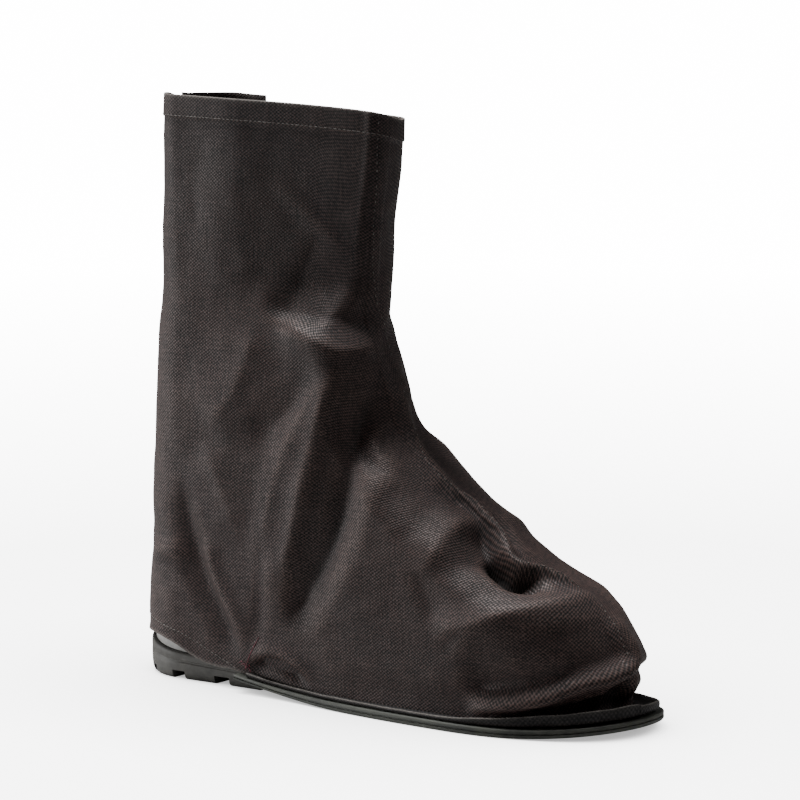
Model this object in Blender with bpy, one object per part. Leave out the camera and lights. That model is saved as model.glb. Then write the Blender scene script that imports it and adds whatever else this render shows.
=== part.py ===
"""Rain gaiter for the right foot: a slack fabric overboot on a thin forefoot sole and a lugged heel.

Run it with blender --background --python part.py, or from Blender's text editor.
The tables and sizes below are in millimetres, and MM turns them into Blender's metres. While the pieces are
shaped, X runs forward from the back of the heel, -Y is the outer side of the foot and Z is up from the floor.
A parent empty then sets the finished gaiter over the origin.
"""

import math
from collections import namedtuple

import bmesh
import bpy
import numpy as np

MM = 0.001

# Upper: wall, collar, seam and the hem round the heel, in millimetres
WALL = 1.2
GAP = 0.35
COLLAR_BACK = 316.5
COLLAR_FRONT = 312.0
COLLAR_INNER_DROP = 5.5
HEM_DEPTH = 12.5
HEM_EXTRA = 0.7
HEEL_HEM_RUN = 6.0
SEAM_WIDTH = 7.0
SEAM_EXTRA = 0.7
STEP_RUN = 0.5
ARCH_INSET = 3.5
ARCH_PLACE = 0.40
ARCH_REACH = 0.20
ARCH_FADE = 80.0
FOLD_FOOT_FADE = 24.0
FOLD_COLLAR_FADE = 30.0

# Sole
SOLE_REAR = 82.0
SOLE_TIP = 317.0
SOLE_THICKNESS = 4.6
SOLE_REAR_THICKNESS = 2.6
SOLE_TOE_IN = 5.0
SOLE_POINTS = 61
ARCH_RISE = 7.4
ARCH_START = 165.0
TOE_SPRING = 5.5
TOE_SPRING_START = 250.0
TOE_ROUND_START = 228.0
TOE_ROUND_POWER = 2.15
GROOVE_DEPTH = 1.6
GROOVE_WIDTH = 5.0
GROOVE_PITCH = 15.0
GROOVE_COUNT = 9
GROOVE_FIRST = 128.0
GROOVE_MARGIN = 10.0

# Heel and the counter that stands on it
HEEL_BACK = -1.5
HEEL_BREAST = 90.0
HEEL_HALF = 36.5
HEEL_BREAST_HALF = 33.5
HEEL_NOSE = 38.0
HEEL_POINTS = 41
HEEL_BREAST_HEIGHT = 12.0
HEEL_BACK_HEIGHT = 22.0
HEEL_FALL = 30.0
LUG_DEPTH = 4.6
BACK_SLOTS = (-17.0, 17.0)
BACK_SLOT_WIDTH = 6.0
COUNTER_TOP = 44.0
COUNTER_INSET = 2.4
COUNTER_WALL = 1.5
COUNTER_FRONT = 66.0

# Welt round the upper's foot, and the closure at the back of the inner side
WELT_THICKNESS = 2.2
WELT_SOLE_INSET = 2.0
WELT_TOE_LIFT = 1.2
WELT_TOE_WALL = 4.2
WELT_REAR = 88.0
FLAP_FREE_EDGE = 8.0
FLAP_FRONT_EDGE = 56.0
FLAP_COLUMNS = 8
FLAP_FOOT_SHARE = 0.23
FLAP_RISE = 3.5
FLAP_WALL = 1.4
FLAP_WAVE = 1.6
FLAP_WAVE_LENGTH = 62.0
TAPE_WALL = 2.4
TAPE_COLUMNS = slice(3, 7)
TAPE_ROWS = slice(2, -4)

# Horizontal sections of the upper's outside, one row a height. The halves are half widths towards the back and
# the front, the noses are the lengths over which those ends round off, and toe_in bends the front inwards.
Section = namedtuple("Section", "height back front rear_half front_half rear_nose front_nose toe_in")
SECTIONS = (
    Section(4, -1, 300, 37, 47, 40, 62, 5),
    Section(13, -2, 298, 38, 46, 40, 60, 5),
    Section(25, -2, 304, 39, 47, 40, 58, 5),
    Section(37, -2, 306, 39, 47, 40, 56, 5),
    Section(50, -1, 298, 39, 47, 40, 54, 5),
    Section(64, 0, 283, 39, 46, 40, 52, 5),
    Section(80, 1, 249, 39, 45, 40, 48, 5),
    Section(98, 1, 220, 39, 43, 40, 40, 4),
    Section(118, 3, 192, 39, 41, 38, 34, 3),
    Section(140, 4, 166, 38, 38, 36, 29, 2),
    Section(165, 5, 157, 36, 34, 33, 25, 1),
    Section(190, 6, 147, 34, 30, 30, 21, 0),
    Section(215, 8, 147, 31, 27, 28, 18, 0),
    Section(250, 7, 148, 28, 25, 24, 15, 0),
    Section(290, 8, 153, 25, 23, 20, 12, 0),
    Section(330, 9, 154, 23, 22, 17, 10, 0),
)
REAR_STATION = 0.15
FRONT_STATION = 0.75

# Main folds of the slack cloth, each along a line seen from the side, with its height over the plain wall and
# how far it reaches to either side of the line; side is -1 for the outer side, 1 for the inner side and 0 for both
Fold = namedtuple("Fold", "side x z to_x to_z rise reach")
FOLDS = (
    Fold(-1, 89, 210, 148, 186, 3.0, 9),
    Fold(-1, 101, 228, 146, 204, -2.5, 10),
    Fold(-1, 140, 178, 142, 133, -4.0, 14),
    Fold(-1, 142, 133, 121, 55, -4.0, 18),
    Fold(-1, 219, 53, 262, 68, 2.5, 9),
    Fold(-1, 264, 48, 288, 56, -3.5, 12),
    Fold(0, 238, 82, 268, 73, -4.5, 9),
    Fold(1, 150, 175, 122, 95, -4.0, 18),
    Fold(1, 258, 58, 286, 44, -3.0, 12),
)

# Height of the upper's lower edge round the heel, which hangs over the block's sides and shows the counter behind
HemStation = namedtuple("HemStation", "x height")
HEEL_HEM = (
    HemStation(-5, 23.0),
    HemStation(28, 22.8),
    HemStation(38, 20.0),
    HemStation(47, 15.8),
    HemStation(58, 12.4),
    HemStation(68, 11.3),
)

# Slots across the heel between its lugs
LugSlot = namedtuple("LugSlot", "x width")
LUG_SLOTS = (
    LugSlot(12.5, 3.5),
    LugSlot(31.5, 8.5),
    LugSlot(60.0, 10.0),
)

# Half widths of the sole's outline at stations along its length
SoleStation = namedtuple("SoleStation", "x outer_half inner_half")
SOLE_STATIONS = (
    SoleStation(70, 45.0, 44.0),
    SoleStation(110, 45.0, 42.5),
    SoleStation(150, 48.5, 45.0),
    SoleStation(190, 52.0, 50.0),
    SoleStation(230, 54.0, 52.5),
    SoleStation(317, 52.0, 52.0),
)

# A side from the floor up: how far each line lies inside the outline, and its share of the thickness
SideLine = namedtuple("SideLine", "inset share")
SOLE_SIDE = (
    SideLine(1.0, 0.0),
    SideLine(0.0, 0.2),
    SideLine(0.0, 0.46),
    SideLine(0.6, 0.52),
    SideLine(0.6, 0.60),
    SideLine(0.0, 0.66),
    SideLine(0.0, 0.90),
    SideLine(0.6, 1.0),
)
HEEL_SIDE = (
    SideLine(1.8, 0.0),
    SideLine(0.6, 0.12),
    SideLine(0.0, 0.45),
    SideLine(0.0, 0.88),
    SideLine(0.8, 1.0),
)

# Share of the height at which the upper's rings lie, closest together where the toe turns under
RING_SHARES = (
    0.0, 0.015, 0.035, 0.06, 0.09, 0.12, 0.15, 0.185, 0.22, 0.255, 0.29, 0.325, 0.36,
    0.40, 0.44, 0.48, 0.525, 0.57, 0.62, 0.68, 0.75, 0.82, 0.91, 1.0,
)
OUTER_COLUMNS = 30
INNER_COLUMNS = 21
DENSE_POINTS = 420
NOSE_POINTS = 90
HEIGHT_STEP = 2.0


def ease(share):
    """Smooth step from 0 to 1."""
    share = np.clip(share, 0.0, 1.0)
    return share * share * (3.0 - 2.0 * share)


def smooth_curve(at, knots, values):
    """Smooth curve through the values at the knots, read at the given places."""
    knots = np.asarray(knots, float)
    values = np.asarray(values, float)
    slopes = np.gradient(values, knots)
    at = np.clip(np.asarray(at, float), knots[0], knots[-1])
    i = np.clip(np.searchsorted(knots, at) - 1, 0, len(knots) - 2)
    span = knots[i + 1] - knots[i]
    t = (at - knots[i]) / span
    rise = values[i] * (1 + 2 * t) * (1 - t) ** 2 + values[i + 1] * t * t * (3 - 2 * t)
    return rise + span * (slopes[i] * t * (1 - t) ** 2 + slopes[i + 1] * t * t * (t - 1))


def path_length(points):
    return float(np.linalg.norm(np.diff(points, axis=0), axis=1).sum())


def resample(points, stops):
    """Points at the given distances along a polyline."""
    steps = np.linalg.norm(np.diff(points, axis=0), axis=1)
    along = np.concatenate([[0.0], np.cumsum(steps)])
    return np.stack([np.interp(stops, along, points[:, k]) for k in range(points.shape[1])], 1)


def even_inset(points, count, inset):
    """A polyline as count even points, each moved to the left of the direction of travel by the inset."""
    points = resample(points, np.linspace(0, path_length(points), count))
    ahead = np.gradient(points, axis=0)
    ahead /= np.linalg.norm(ahead, axis=1)[:, None]
    left = np.stack([-ahead[:, 1], ahead[:, 0]], 1)
    return points + left * inset


def at_height(plan, height):
    """Plan points lifted to a height, or to one height a point."""
    return np.concatenate([plan, np.broadcast_to(height, len(plan))[:, None]], 1)


# Forms of the sole and heel, which the other pieces stand on
def sole_floor(x):
    """Height of the sole's underside: on the floor at the ball, up at the arch and at the toe."""
    arch = ARCH_RISE * np.clip((ARCH_START - x) / (ARCH_START - SOLE_REAR), 0, 1.2) ** 2
    toe = TOE_SPRING * np.clip((x - TOE_SPRING_START) / (SOLE_TIP - TOE_SPRING_START), 0, 1) ** 2
    return arch + toe


def sole_thickness(x):
    """Thickness of the plate, which thins out to the ends of its wings."""
    return SOLE_REAR_THICKNESS + (SOLE_THICKNESS - SOLE_REAR_THICKNESS) * ease((x - SOLE_REAR) / (ARCH_START - SOLE_REAR))


def sole_top(x):
    return sole_floor(x) + sole_thickness(x)


def sole_outline(inset):
    """Plan points round the sole, from the outer rear corner by the toe to the inner rear corner."""
    stations = np.array(SOLE_STATIONS)
    swing = np.linspace(0.0, math.pi / 2, DENSE_POINTS)
    x = SOLE_REAR + (SOLE_TIP - SOLE_REAR) * np.sin(swing)
    turn = np.clip((x - TOE_ROUND_START) / (SOLE_TIP - TOE_ROUND_START), 0, 1)
    narrowing = (1 - turn**TOE_ROUND_POWER) ** (1 / TOE_ROUND_POWER)
    centre = SOLE_TOE_IN * ease((x - 150) / 150)
    outer = np.stack([x, centre - narrowing * smooth_curve(x, stations[:, 0], stations[:, 1])], 1)
    inner = np.stack([x, centre + narrowing * smooth_curve(x, stations[:, 0], stations[:, 2])], 1)
    return even_inset(np.concatenate([outer, inner[::-1][1:]]), SOLE_POINTS, inset)


def heel_outline(inset, front=HEEL_BREAST):
    """Plan points round the heel, from its inner front corner by the back to its outer front corner."""
    swing = np.linspace(0.0, math.pi / 2, NOSE_POINTS)
    rear = HEEL_BACK + HEEL_NOSE * (1 - np.cos(swing[::-1]))
    x = np.concatenate([np.linspace(front, rear[0], NOSE_POINTS)[:-1], rear])
    narrowing = np.concatenate([np.ones(NOSE_POINTS - 1), np.sin(swing[::-1])])
    half = HEEL_HALF + (HEEL_BREAST_HALF - HEEL_HALF) * ease(x / HEEL_BREAST)
    inner = np.stack([x, half * narrowing], 1)
    outer = inner[::-1][1:] * (1, -1)
    return even_inset(np.concatenate([inner, outer]), HEEL_POINTS, inset)


def heel_top(x):
    return HEEL_BREAST_HEIGHT + (HEEL_BACK_HEIGHT - HEEL_BREAST_HEIGHT) * np.exp(-(x - HEEL_BACK) / HEEL_FALL)


# The upper's wall
def section_values(height):
    table = np.array(SECTIONS)
    return [float(smooth_curve(height, table[:, 0], table[:, k])) for k in range(1, table.shape[1])]


def half_outline(height, side):
    """Close plan points of half a section, from the front seam to the heel line; side is -1 outer, 1 inner."""
    back, front, rear_half, front_half, rear_nose, front_nose, toe_in = section_values(height)
    swing = np.linspace(0.0, math.pi / 2, NOSE_POINTS)
    front_end = front - front_nose * (1 - np.cos(swing))
    rear_end = back + rear_nose * (1 - np.cos(swing[::-1]))
    middle = np.linspace(front_end[-1], rear_end[0], NOSE_POINTS)[1:-1]
    x = np.concatenate([front_end, middle, rear_end])
    narrowing = np.concatenate([np.sin(swing), np.ones(len(middle)), np.sin(swing[::-1])])
    along = (x - back) / (front - back)
    half = rear_half + (front_half - rear_half) * ease((along - REAR_STATION) / (FRONT_STATION - REAR_STATION))
    if side > 0:
        hollow = np.exp(-(((along - ARCH_PLACE) / ARCH_REACH) ** 2))
        half = half - ARCH_INSET * hollow * (1 - ease(height / ARCH_FADE))
    y = side * half * narrowing + toe_in * ease((along - 0.45) / 0.55)
    return np.stack([x, y], 1)


def column_stops(length, side):
    """Distances from the front seam at which the wall's columns stand on one side."""
    if side < 0:
        seam = [0.0, SEAM_WIDTH, SEAM_WIDTH + STEP_RUN]
        return np.array(seam + list(np.linspace(seam[-1], length, OUTER_COLUMNS + 1)[1:]))
    flap = np.linspace(length - FLAP_FRONT_EDGE, length - FLAP_FREE_EDGE, FLAP_COLUMNS)
    body = np.linspace(STEP_RUN, flap[0], INNER_COLUMNS + 1)
    return np.concatenate([body, flap[1:]])


def section_ring(height):
    """Plan points of a section, one a column: from the heel line along the outer side to the front seam,
    and back along the inner side."""
    outer = half_outline(height, -1)
    inner = half_outline(height, 1)
    outer = resample(outer, column_stops(path_length(outer), -1))[::-1]
    inner = resample(inner, column_stops(path_length(inner), 1))
    return np.concatenate([outer, inner])


def hem_line(x):
    """Lower edge of the wall: on the sole in front, rising round the heel behind it."""
    meeting = SOLE_REAR - HEEL_HEM_RUN
    on_sole = sole_top(np.maximum(x, meeting)) + GAP
    stations = np.array([*HEEL_HEM, (meeting, sole_top(meeting) + GAP)])
    return np.where(x < meeting, smooth_curve(x, stations[:, 0], stations[:, 1]), on_sole)


def rim_line(top):
    """Upper edge of the wall, which falls towards the front and lies lower along the inner side."""
    x, y = top[:, 0], top[:, 1]
    along = (x - x.min()) / (x.max() - x.min())
    drop = COLLAR_INNER_DROP * ease(0.5 + y / 28.0)
    return COLLAR_BACK + (COLLAR_FRONT - COLLAR_BACK) * along**2.5 - drop


def grid_normals(grid, closed):
    """Outward unit normals of rings of points that run from the heel along the outer side to the front."""
    if closed:
        around = np.roll(grid, -1, 1) - np.roll(grid, 1, 1)
    else:
        around = np.gradient(grid, axis=1)
    normal = np.cross(around, np.gradient(grid, axis=0))
    return normal / np.linalg.norm(normal, axis=2)[:, :, None]


def fold_rise(points, foot, hem):
    """How far the folds lift or sink each point of the wall."""
    x, y, z = points[..., 0], points[..., 1], points[..., 2]
    rise = np.zeros(x.shape)
    for fold in FOLDS:
        run = np.array([fold.to_x - fold.x, fold.to_z - fold.z])
        share = ((x - fold.x) * run[0] + (z - fold.z) * run[1]) / (run @ run)
        share = np.clip(share, 0.0, 1.0)
        away = np.hypot(x - fold.x - share * run[0], z - fold.z - share * run[1])
        on_side = ease(0.5 + fold.side * y / 24.0) if fold.side else 1.0
        rise += fold.rise * np.exp(-((away / fold.reach) ** 2)) * on_side
    return rise * ease((z - foot) / FOLD_FOOT_FADE) * ease((hem - z) / FOLD_COLLAR_FADE)


class Wall:
    """The upper's wall as rings of points: its plain surface, outward normals and raised outside."""

    def __init__(self):
        self.heights = np.arange(2.0, 336.0, HEIGHT_STEP)
        self.plan = np.array([section_ring(h) for h in self.heights])
        self.columns = np.arange(self.plan.shape[1])
        self.foot = np.full(len(self.columns), SOLE_THICKNESS)
        for _ in range(4):
            self.foot = hem_line(self.points(self.foot)[:, 0])
        self.rim = rim_line(self.plan[np.searchsorted(self.heights, COLLAR_FRONT)])
        hem = self.rim - HEM_DEPTH
        rings = [self.foot + (hem - self.foot) * share for share in RING_SHARES]
        rings += [hem + STEP_RUN, (hem + self.rim) / 2, self.rim]
        surface = np.array([self.points(r) for r in rings])
        rise = fold_rise(surface, self.foot, hem)
        self.surface = surface + grid_normals(surface, closed=True) * rise[:, :, None]
        self.normals = grid_normals(self.surface, closed=True)
        extra = np.zeros(self.surface.shape[:2])
        extra[len(RING_SHARES):] = HEM_EXTRA
        front = OUTER_COLUMNS + 2
        extra[:, front - 1 : front + 1] = np.maximum(extra[:, front - 1 : front + 1], SEAM_EXTRA)
        self.outside = self.surface + self.normals * extra[:, :, None]

    def points(self, heights):
        """Plain surface points for one height a column."""
        at = np.clip((heights - self.heights[0]) / HEIGHT_STEP, 0, len(self.heights) - 1.001)
        low = at.astype(int)
        part = (at - low)[:, None]
        plan = self.plan[low, self.columns] * (1 - part) + self.plan[low + 1, self.columns] * part
        return at_height(plan, heights)

    def flap_patch(self):
        """Rings and normals of the wall under the closure flap, from its front edge to its free edge."""
        first = int(np.searchsorted(RING_SHARES, FLAP_FOOT_SHARE))
        columns = slice(-FLAP_COLUMNS, None)
        return self.surface[first:, columns], self.normals[first:, columns]


# Mesh building
def make_object(name, bm, material, parent):
    bmesh.ops.recalc_face_normals(bm, faces=bm.faces)
    mesh = bpy.data.meshes.new(name)
    bm.to_mesh(mesh)
    bm.free()
    obj = bpy.data.objects.new(name, mesh)
    bpy.context.scene.collection.objects.link(obj)
    obj.parent = parent
    if material:
        mesh.shade_smooth()
        mesh.set_sharp_from_angle(angle=math.radians(40))
        mesh.materials.append(material)
    return obj


def add_rows(bm, rows):
    """Vertices for a grid of points in millimetres."""
    return [[bm.verts.new([c * MM for c in p]) for p in row] for row in rows]


def bridge_rows(bm, rows, closed):
    """Quads between neighbouring rows of vertices."""
    for a, b in zip(rows, rows[1:]):
        count = len(a)
        for i in range(count if closed else count - 1):
            j = (i + 1) % count
            bm.faces.new((a[i], a[j], b[j], b[i]))


def shell(outer, inner, closed):
    """Closed wall between two grids of points: a tube open above and below, or a patch with four edges."""
    bm = bmesh.new()
    out = add_rows(bm, outer)
    ins = add_rows(bm, inner)
    bridge_rows(bm, out, closed)
    bridge_rows(bm, ins, closed)
    bridge_rows(bm, [out[0], ins[0]], closed)
    bridge_rows(bm, [out[-1], ins[-1]], closed)
    if not closed:
        for end in (0, -1):
            bridge_rows(bm, [[r[end] for r in out], [r[end] for r in ins]], closed=False)
    return bm


def slab(loops):
    """Closed solid through a stack of loops. Its two caps are rungs across, from the first point and the last."""
    bm = bmesh.new()
    rows = add_rows(bm, loops)
    bridge_rows(bm, rows, closed=True)
    last = len(rows[0]) - 1
    for cap in (rows[0], rows[-1]):
        for i in range(last // 2):
            rung = (cap[i], cap[i + 1], cap[last - i - 1], cap[last - i])
            bm.faces.new(list(dict.fromkeys(rung)))
    return bm


def ring_bar(rings):
    """Closed bar through a row of rings, with flat ends."""
    bm = bmesh.new()
    rows = add_rows(bm, rings)
    bridge_rows(bm, rows, closed=True)
    for end in (rows[0], rows[-1]):
        bm.faces.new(end)
    return bm


def cut(obj, name, bm, parent):
    """Takes the solid in bm out of the object, as a hidden cutter."""
    cutter = make_object(name, bm, None, parent)
    cutter.hide_render = True
    cutter.display_type = "WIRE"
    modifier = obj.modifiers.new(name, "BOOLEAN")
    modifier.operation = "DIFFERENCE"
    modifier.solver = "EXACT"
    modifier.object = cutter


def boxes(corners):
    """Boxes between pairs of corners in millimetres."""
    bm = bmesh.new()
    for low, high in corners:
        for v in bmesh.ops.create_cube(bm, size=1.0)["verts"]:
            v.co = [(low[k] + (v.co[k] + 0.5) * (high[k] - low[k])) * MM for k in range(3)]
    return bm


def make_material(name, colour, roughness):
    material = bpy.data.materials.new(name)
    material.use_nodes = True
    shader = material.node_tree.nodes["Principled BSDF"]
    shader.inputs["Base Color"].default_value = (*colour, 1.0)
    shader.inputs["Roughness"].default_value = roughness
    shader.inputs["Metallic"].default_value = 0.0
    material.diffuse_color = (*colour, 1.0)
    return material


# Pieces
def build_upper(wall, material, parent):
    """One hollow wall from sole to collar, thicker at the collar's hem and along the front seam."""
    outer = wall.outside.copy()
    inner = wall.surface - wall.normals * WALL
    for face in (outer, inner):
        face[0, :, 2] = hem_line(face[0, :, 0])
        face[-1, :, 2] = wall.rim
    make_object("upper", shell(outer, inner, closed=True), material, parent)


def build_sole(material, parent):
    """Thin rubber plate under the forefoot, grooved round its edge and beneath, with two wings beside the heel."""
    loops = []
    for line in SOLE_SIDE:
        plan = sole_outline(line.inset)
        loops.append(at_height(plan, sole_floor(plan[:, 0]) + sole_thickness(plan[:, 0]) * line.share))
    sole = make_object("sole", slab(loops), material, parent)
    stations = np.array(SOLE_STATIONS)
    grooves = []
    for i in range(GROOVE_COUNT):
        x = GROOVE_FIRST + GROOVE_PITCH * i
        outer = -smooth_curve(x, stations[:, 0], stations[:, 1]) + GROOVE_MARGIN
        inner = smooth_curve(x, stations[:, 0], stations[:, 2]) - GROOVE_MARGIN
        top = sole_floor(x + GROOVE_WIDTH / 2) + GROOVE_DEPTH
        grooves.append(((x, outer, -2.0), (x + GROOVE_WIDTH, inner, top)))
    cut(sole, "tread_grooves", boxes(grooves), parent)
    room = heel_outline(-GAP, HEEL_BREAST + GAP)
    cut(sole, "heel_room", slab([at_height(room, -2.0), at_height(room, 40.0)]), parent)


def build_heel(material, parent):
    """Rubber block with lugs, higher at its back."""
    loops = []
    for line in HEEL_SIDE:
        plan = heel_outline(line.inset)
        loops.append(at_height(plan, heel_top(plan[:, 0]) * line.share))
    heel = make_object("heel", slab(loops), material, parent)
    across = [((slot.x, -60.0, -2.0), (slot.x + slot.width, 60.0, LUG_DEPTH)) for slot in LUG_SLOTS]
    cut(heel, "lug_slots", boxes(across), parent)
    half = BACK_SLOT_WIDTH / 2
    reach = LUG_SLOTS[0].x + LUG_SLOTS[0].width / 2
    behind = [((-9.0, y - half, -2.0), (reach, y + half, LUG_DEPTH - 1.0)) for y in BACK_SLOTS]
    cut(heel, "back_slots", boxes(behind), parent)


def build_counter(material, parent):
    """Smooth stiff shell round the heel, standing on the block inside the upper's hem."""
    faces = []
    for inset in (COUNTER_INSET, COUNTER_INSET + COUNTER_WALL):
        plan = heel_outline(inset, COUNTER_FRONT)
        low = heel_top(plan[:, 0]) + GAP
        faces.append([at_height(plan, low + (COUNTER_TOP - low) * share) for share in (0.0, 0.25, 1.0)])
    make_object("heel_counter", shell(*faces, closed=False), material, parent)


def build_welt(wall, material, parent):
    """Fabric strip on the sole all round the upper's foot, its edge standing up as a low wall at the toe."""
    edge = resample(sole_outline(0.0), np.linspace(0, path_length(sole_outline(0.0)), DENSE_POINTS))
    rings = []
    for foot, normal in zip(wall.outside[0], wall.normals[0]):
        if foot[0] < WELT_REAR:
            continue
        out = np.array([normal[0], normal[1], 0.0]) / math.hypot(normal[0], normal[1])
        width = np.linalg.norm(edge - foot[:2], axis=1).min() - WELT_SOLE_INSET
        toe = ease((foot[0] - 215) / 75)
        near = foot + out * GAP
        far = foot + out * width
        near[2] = sole_top(near[0]) + GAP
        far[2] = sole_top(far[0]) + GAP + WELT_TOE_LIFT * toe
        tall = np.array([0.0, 0.0, WELT_THICKNESS])
        rim = tall + np.array([0.0, 0.0, WELT_TOE_WALL * toe])
        behind = far - out * WELT_THICKNESS
        rings.append([near, far - out * 0.8, far + tall / 2, far + rim - out * 0.4, behind + rim, behind + tall, near + tall])
    make_object("welt", ring_bar(rings), material, parent)


def build_closure(wall, cloth, fuzz, parent):
    """Flap that overlaps the back of the inner side up past the rim, held by a strip of hook-and-loop tape."""
    base, normals = wall.flap_patch()
    share = np.linspace(0.0, 1.0, FLAP_COLUMNS)
    stand = HEM_EXTRA + GAP + (TAPE_WALL + GAP - HEM_EXTRA) * ease(share / 0.36)
    wave = FLAP_WAVE * (1 + np.sin(base[..., 2] * 2 * math.pi / FLAP_WAVE_LENGTH)) * ease((share - 0.7) / 0.3)
    stand = (stand + wave)[:, :, None]
    inner = base + normals * stand
    outer = base + normals * (stand + FLAP_WALL)
    rise = np.array([0.0, 0.0, FLAP_RISE])
    inner = np.concatenate([inner, inner[-1:] + rise])
    outer = np.concatenate([outer, outer[-1:] + rise])
    outer[[0, -1], :, 2] = inner[[0, -1], :, 2]
    make_object("closure_flap", shell(outer, inner, closed=False), cloth, parent)
    base = base[TAPE_ROWS, TAPE_COLUMNS]
    normals = normals[TAPE_ROWS, TAPE_COLUMNS]
    tape = shell(base + normals * (GAP + TAPE_WALL), base + normals * GAP, closed=False)
    make_object("closure_tape", tape, fuzz, parent)


def stand_over_origin(frame):
    """Moves the whole gaiter so that its middle is over the origin and it rests on the floor."""
    corners = [v.co for obj in frame.children if not obj.hide_render for v in obj.data.vertices]
    low = np.min(corners, axis=0)
    high = np.max(corners, axis=0)
    frame.location = (-(low[0] + high[0]) / 2, -(low[1] + high[1]) / 2, -low[2])


def main():
    for obj in list(bpy.data.objects):
        bpy.data.objects.remove(obj, do_unlink=True)
    frame = bpy.data.objects.new("gaiter", None)
    bpy.context.scene.collection.objects.link(frame)
    cloth = make_material("coated_polyester", (0.035, 0.031, 0.030), 0.75)
    welt_cloth = make_material("welt_cloth", (0.030, 0.028, 0.028), 0.80)
    rubber = make_material("sole_rubber", (0.030, 0.032, 0.031), 0.60)
    heel_rubber = make_material("heel_rubber", (0.040, 0.041, 0.040), 0.55)
    counter_grey = make_material("counter_grey", (0.22, 0.22, 0.22), 0.35)
    fuzz = make_material("hook_and_loop", (0.015, 0.015, 0.016), 0.95)
    wall = Wall()
    build_upper(wall, cloth, frame)
    build_sole(rubber, frame)
    build_heel(heel_rubber, frame)
    build_counter(counter_grey, frame)
    build_welt(wall, welt_cloth, frame)
    build_closure(wall, cloth, fuzz, frame)
    stand_over_origin(frame)


main()
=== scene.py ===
# %% [markdown]
# # A rain gaiter in coated cloth
# A rain gaiter is a slack overboot: a tube of coated cloth on a thin rubber sole, pulled over a shoe in the
# wet. The imported model gives the frame, with every piece in its place. Each piece below is rebuilt from the
# same few sizes with more points, so it lands where its plain solid is.

# %% Load the frame
import math
from collections import namedtuple

import bpy
import numpy as np
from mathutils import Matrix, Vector


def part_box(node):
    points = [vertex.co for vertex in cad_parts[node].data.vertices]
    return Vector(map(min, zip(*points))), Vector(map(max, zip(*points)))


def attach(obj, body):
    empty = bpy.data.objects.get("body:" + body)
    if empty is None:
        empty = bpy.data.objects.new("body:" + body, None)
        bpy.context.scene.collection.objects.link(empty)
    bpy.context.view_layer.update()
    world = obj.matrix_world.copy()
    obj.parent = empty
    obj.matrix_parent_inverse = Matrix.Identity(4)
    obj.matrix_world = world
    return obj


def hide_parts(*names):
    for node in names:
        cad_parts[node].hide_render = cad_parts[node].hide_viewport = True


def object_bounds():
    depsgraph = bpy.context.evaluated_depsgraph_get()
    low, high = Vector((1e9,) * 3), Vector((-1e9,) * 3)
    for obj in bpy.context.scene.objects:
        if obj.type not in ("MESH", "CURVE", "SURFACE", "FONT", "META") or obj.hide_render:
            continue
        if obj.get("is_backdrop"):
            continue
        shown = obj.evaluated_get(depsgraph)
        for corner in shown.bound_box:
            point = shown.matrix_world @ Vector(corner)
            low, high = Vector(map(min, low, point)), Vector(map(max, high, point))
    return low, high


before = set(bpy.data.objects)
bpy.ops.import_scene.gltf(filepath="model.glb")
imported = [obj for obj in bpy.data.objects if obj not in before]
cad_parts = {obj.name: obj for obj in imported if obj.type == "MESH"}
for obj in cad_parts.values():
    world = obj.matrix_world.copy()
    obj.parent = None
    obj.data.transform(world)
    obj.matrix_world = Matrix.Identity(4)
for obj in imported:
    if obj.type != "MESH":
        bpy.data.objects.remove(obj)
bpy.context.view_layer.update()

MM = 0.001
HEEL_BACK = -1.5
heel_low, heel_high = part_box("heel")
# Shapes are worked out in millimetres from the back of the upper, and this shift takes them to the frame
SHIFT = np.array([heel_low.x / MM - HEEL_BACK, (heel_low.y + heel_high.y) / 2 / MM, 0.0])

# %% [markdown]
# ## Camera
# The picture was taken from the outer side, a little ahead of the foot and a little above it, from well back.
# A long lens from two metres gives that flat perspective. The angles were fitted to the outline of the sole.

# %% Camera
AIM = np.array([160.0, 0.0, 160.0])
AZIMUTH = math.radians(37.0)
ELEVATION = math.radians(8.4)
DISTANCE = 2200.0
LENS = 188.0


def add_object(name, data):
    """A new object in the scene."""
    made = bpy.data.objects.new(name, data)
    bpy.context.scene.collection.objects.link(made)
    return made


to_camera = Vector((
    math.sin(AZIMUTH) * math.cos(ELEVATION),
    -math.cos(AZIMUTH) * math.cos(ELEVATION),
    math.sin(ELEVATION),
))
to_right = Vector((math.cos(AZIMUTH), math.sin(AZIMUTH), 0.0))
aim = Vector((AIM + SHIFT) * MM)

camera = add_object("camera", bpy.data.cameras.new("camera"))
camera.data.lens = LENS
camera.location = aim + to_camera * DISTANCE * MM
camera.rotation_euler = to_camera.to_track_quat("Z", "Y").to_euler()
bpy.context.scene.camera = camera
print("camera", [round(v, 3) for v in camera.location])

# %% [markdown]
# ## Floor and light
# Dark cloth shows its folds only by how much light each facet turns to. So the light comes from few sides: a
# soft box low on the left and a little behind, one overhead, and a weak one on the right. A dim room keeps
# the deepest hollows from going black. The floor is one wide sheet that glows, so it stays white behind the
# gaiter, and so wide that its far edge stays out of the picture.

# %% Floor and light
FLOOR_HALF = 30.0
ROOM_LIGHT = 0.06


def soft_box(name, right, ahead, up, size, watts):
    """A square light, placed from the middle of the gaiter as the camera sees it, and turned to it."""
    light = add_object(name, bpy.data.lights.new(name, "AREA"))
    light.data.shape = "SQUARE"
    light.data.size = size
    light.data.energy = watts
    light.visible_camera = False
    forward = Vector((to_camera.x, to_camera.y, 0.0)).normalized()
    place = to_right * right + forward * ahead + Vector((0.0, 0.0, up))
    light.location = aim + place
    light.rotation_euler = place.to_track_quat("Z", "Y").to_euler()


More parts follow.
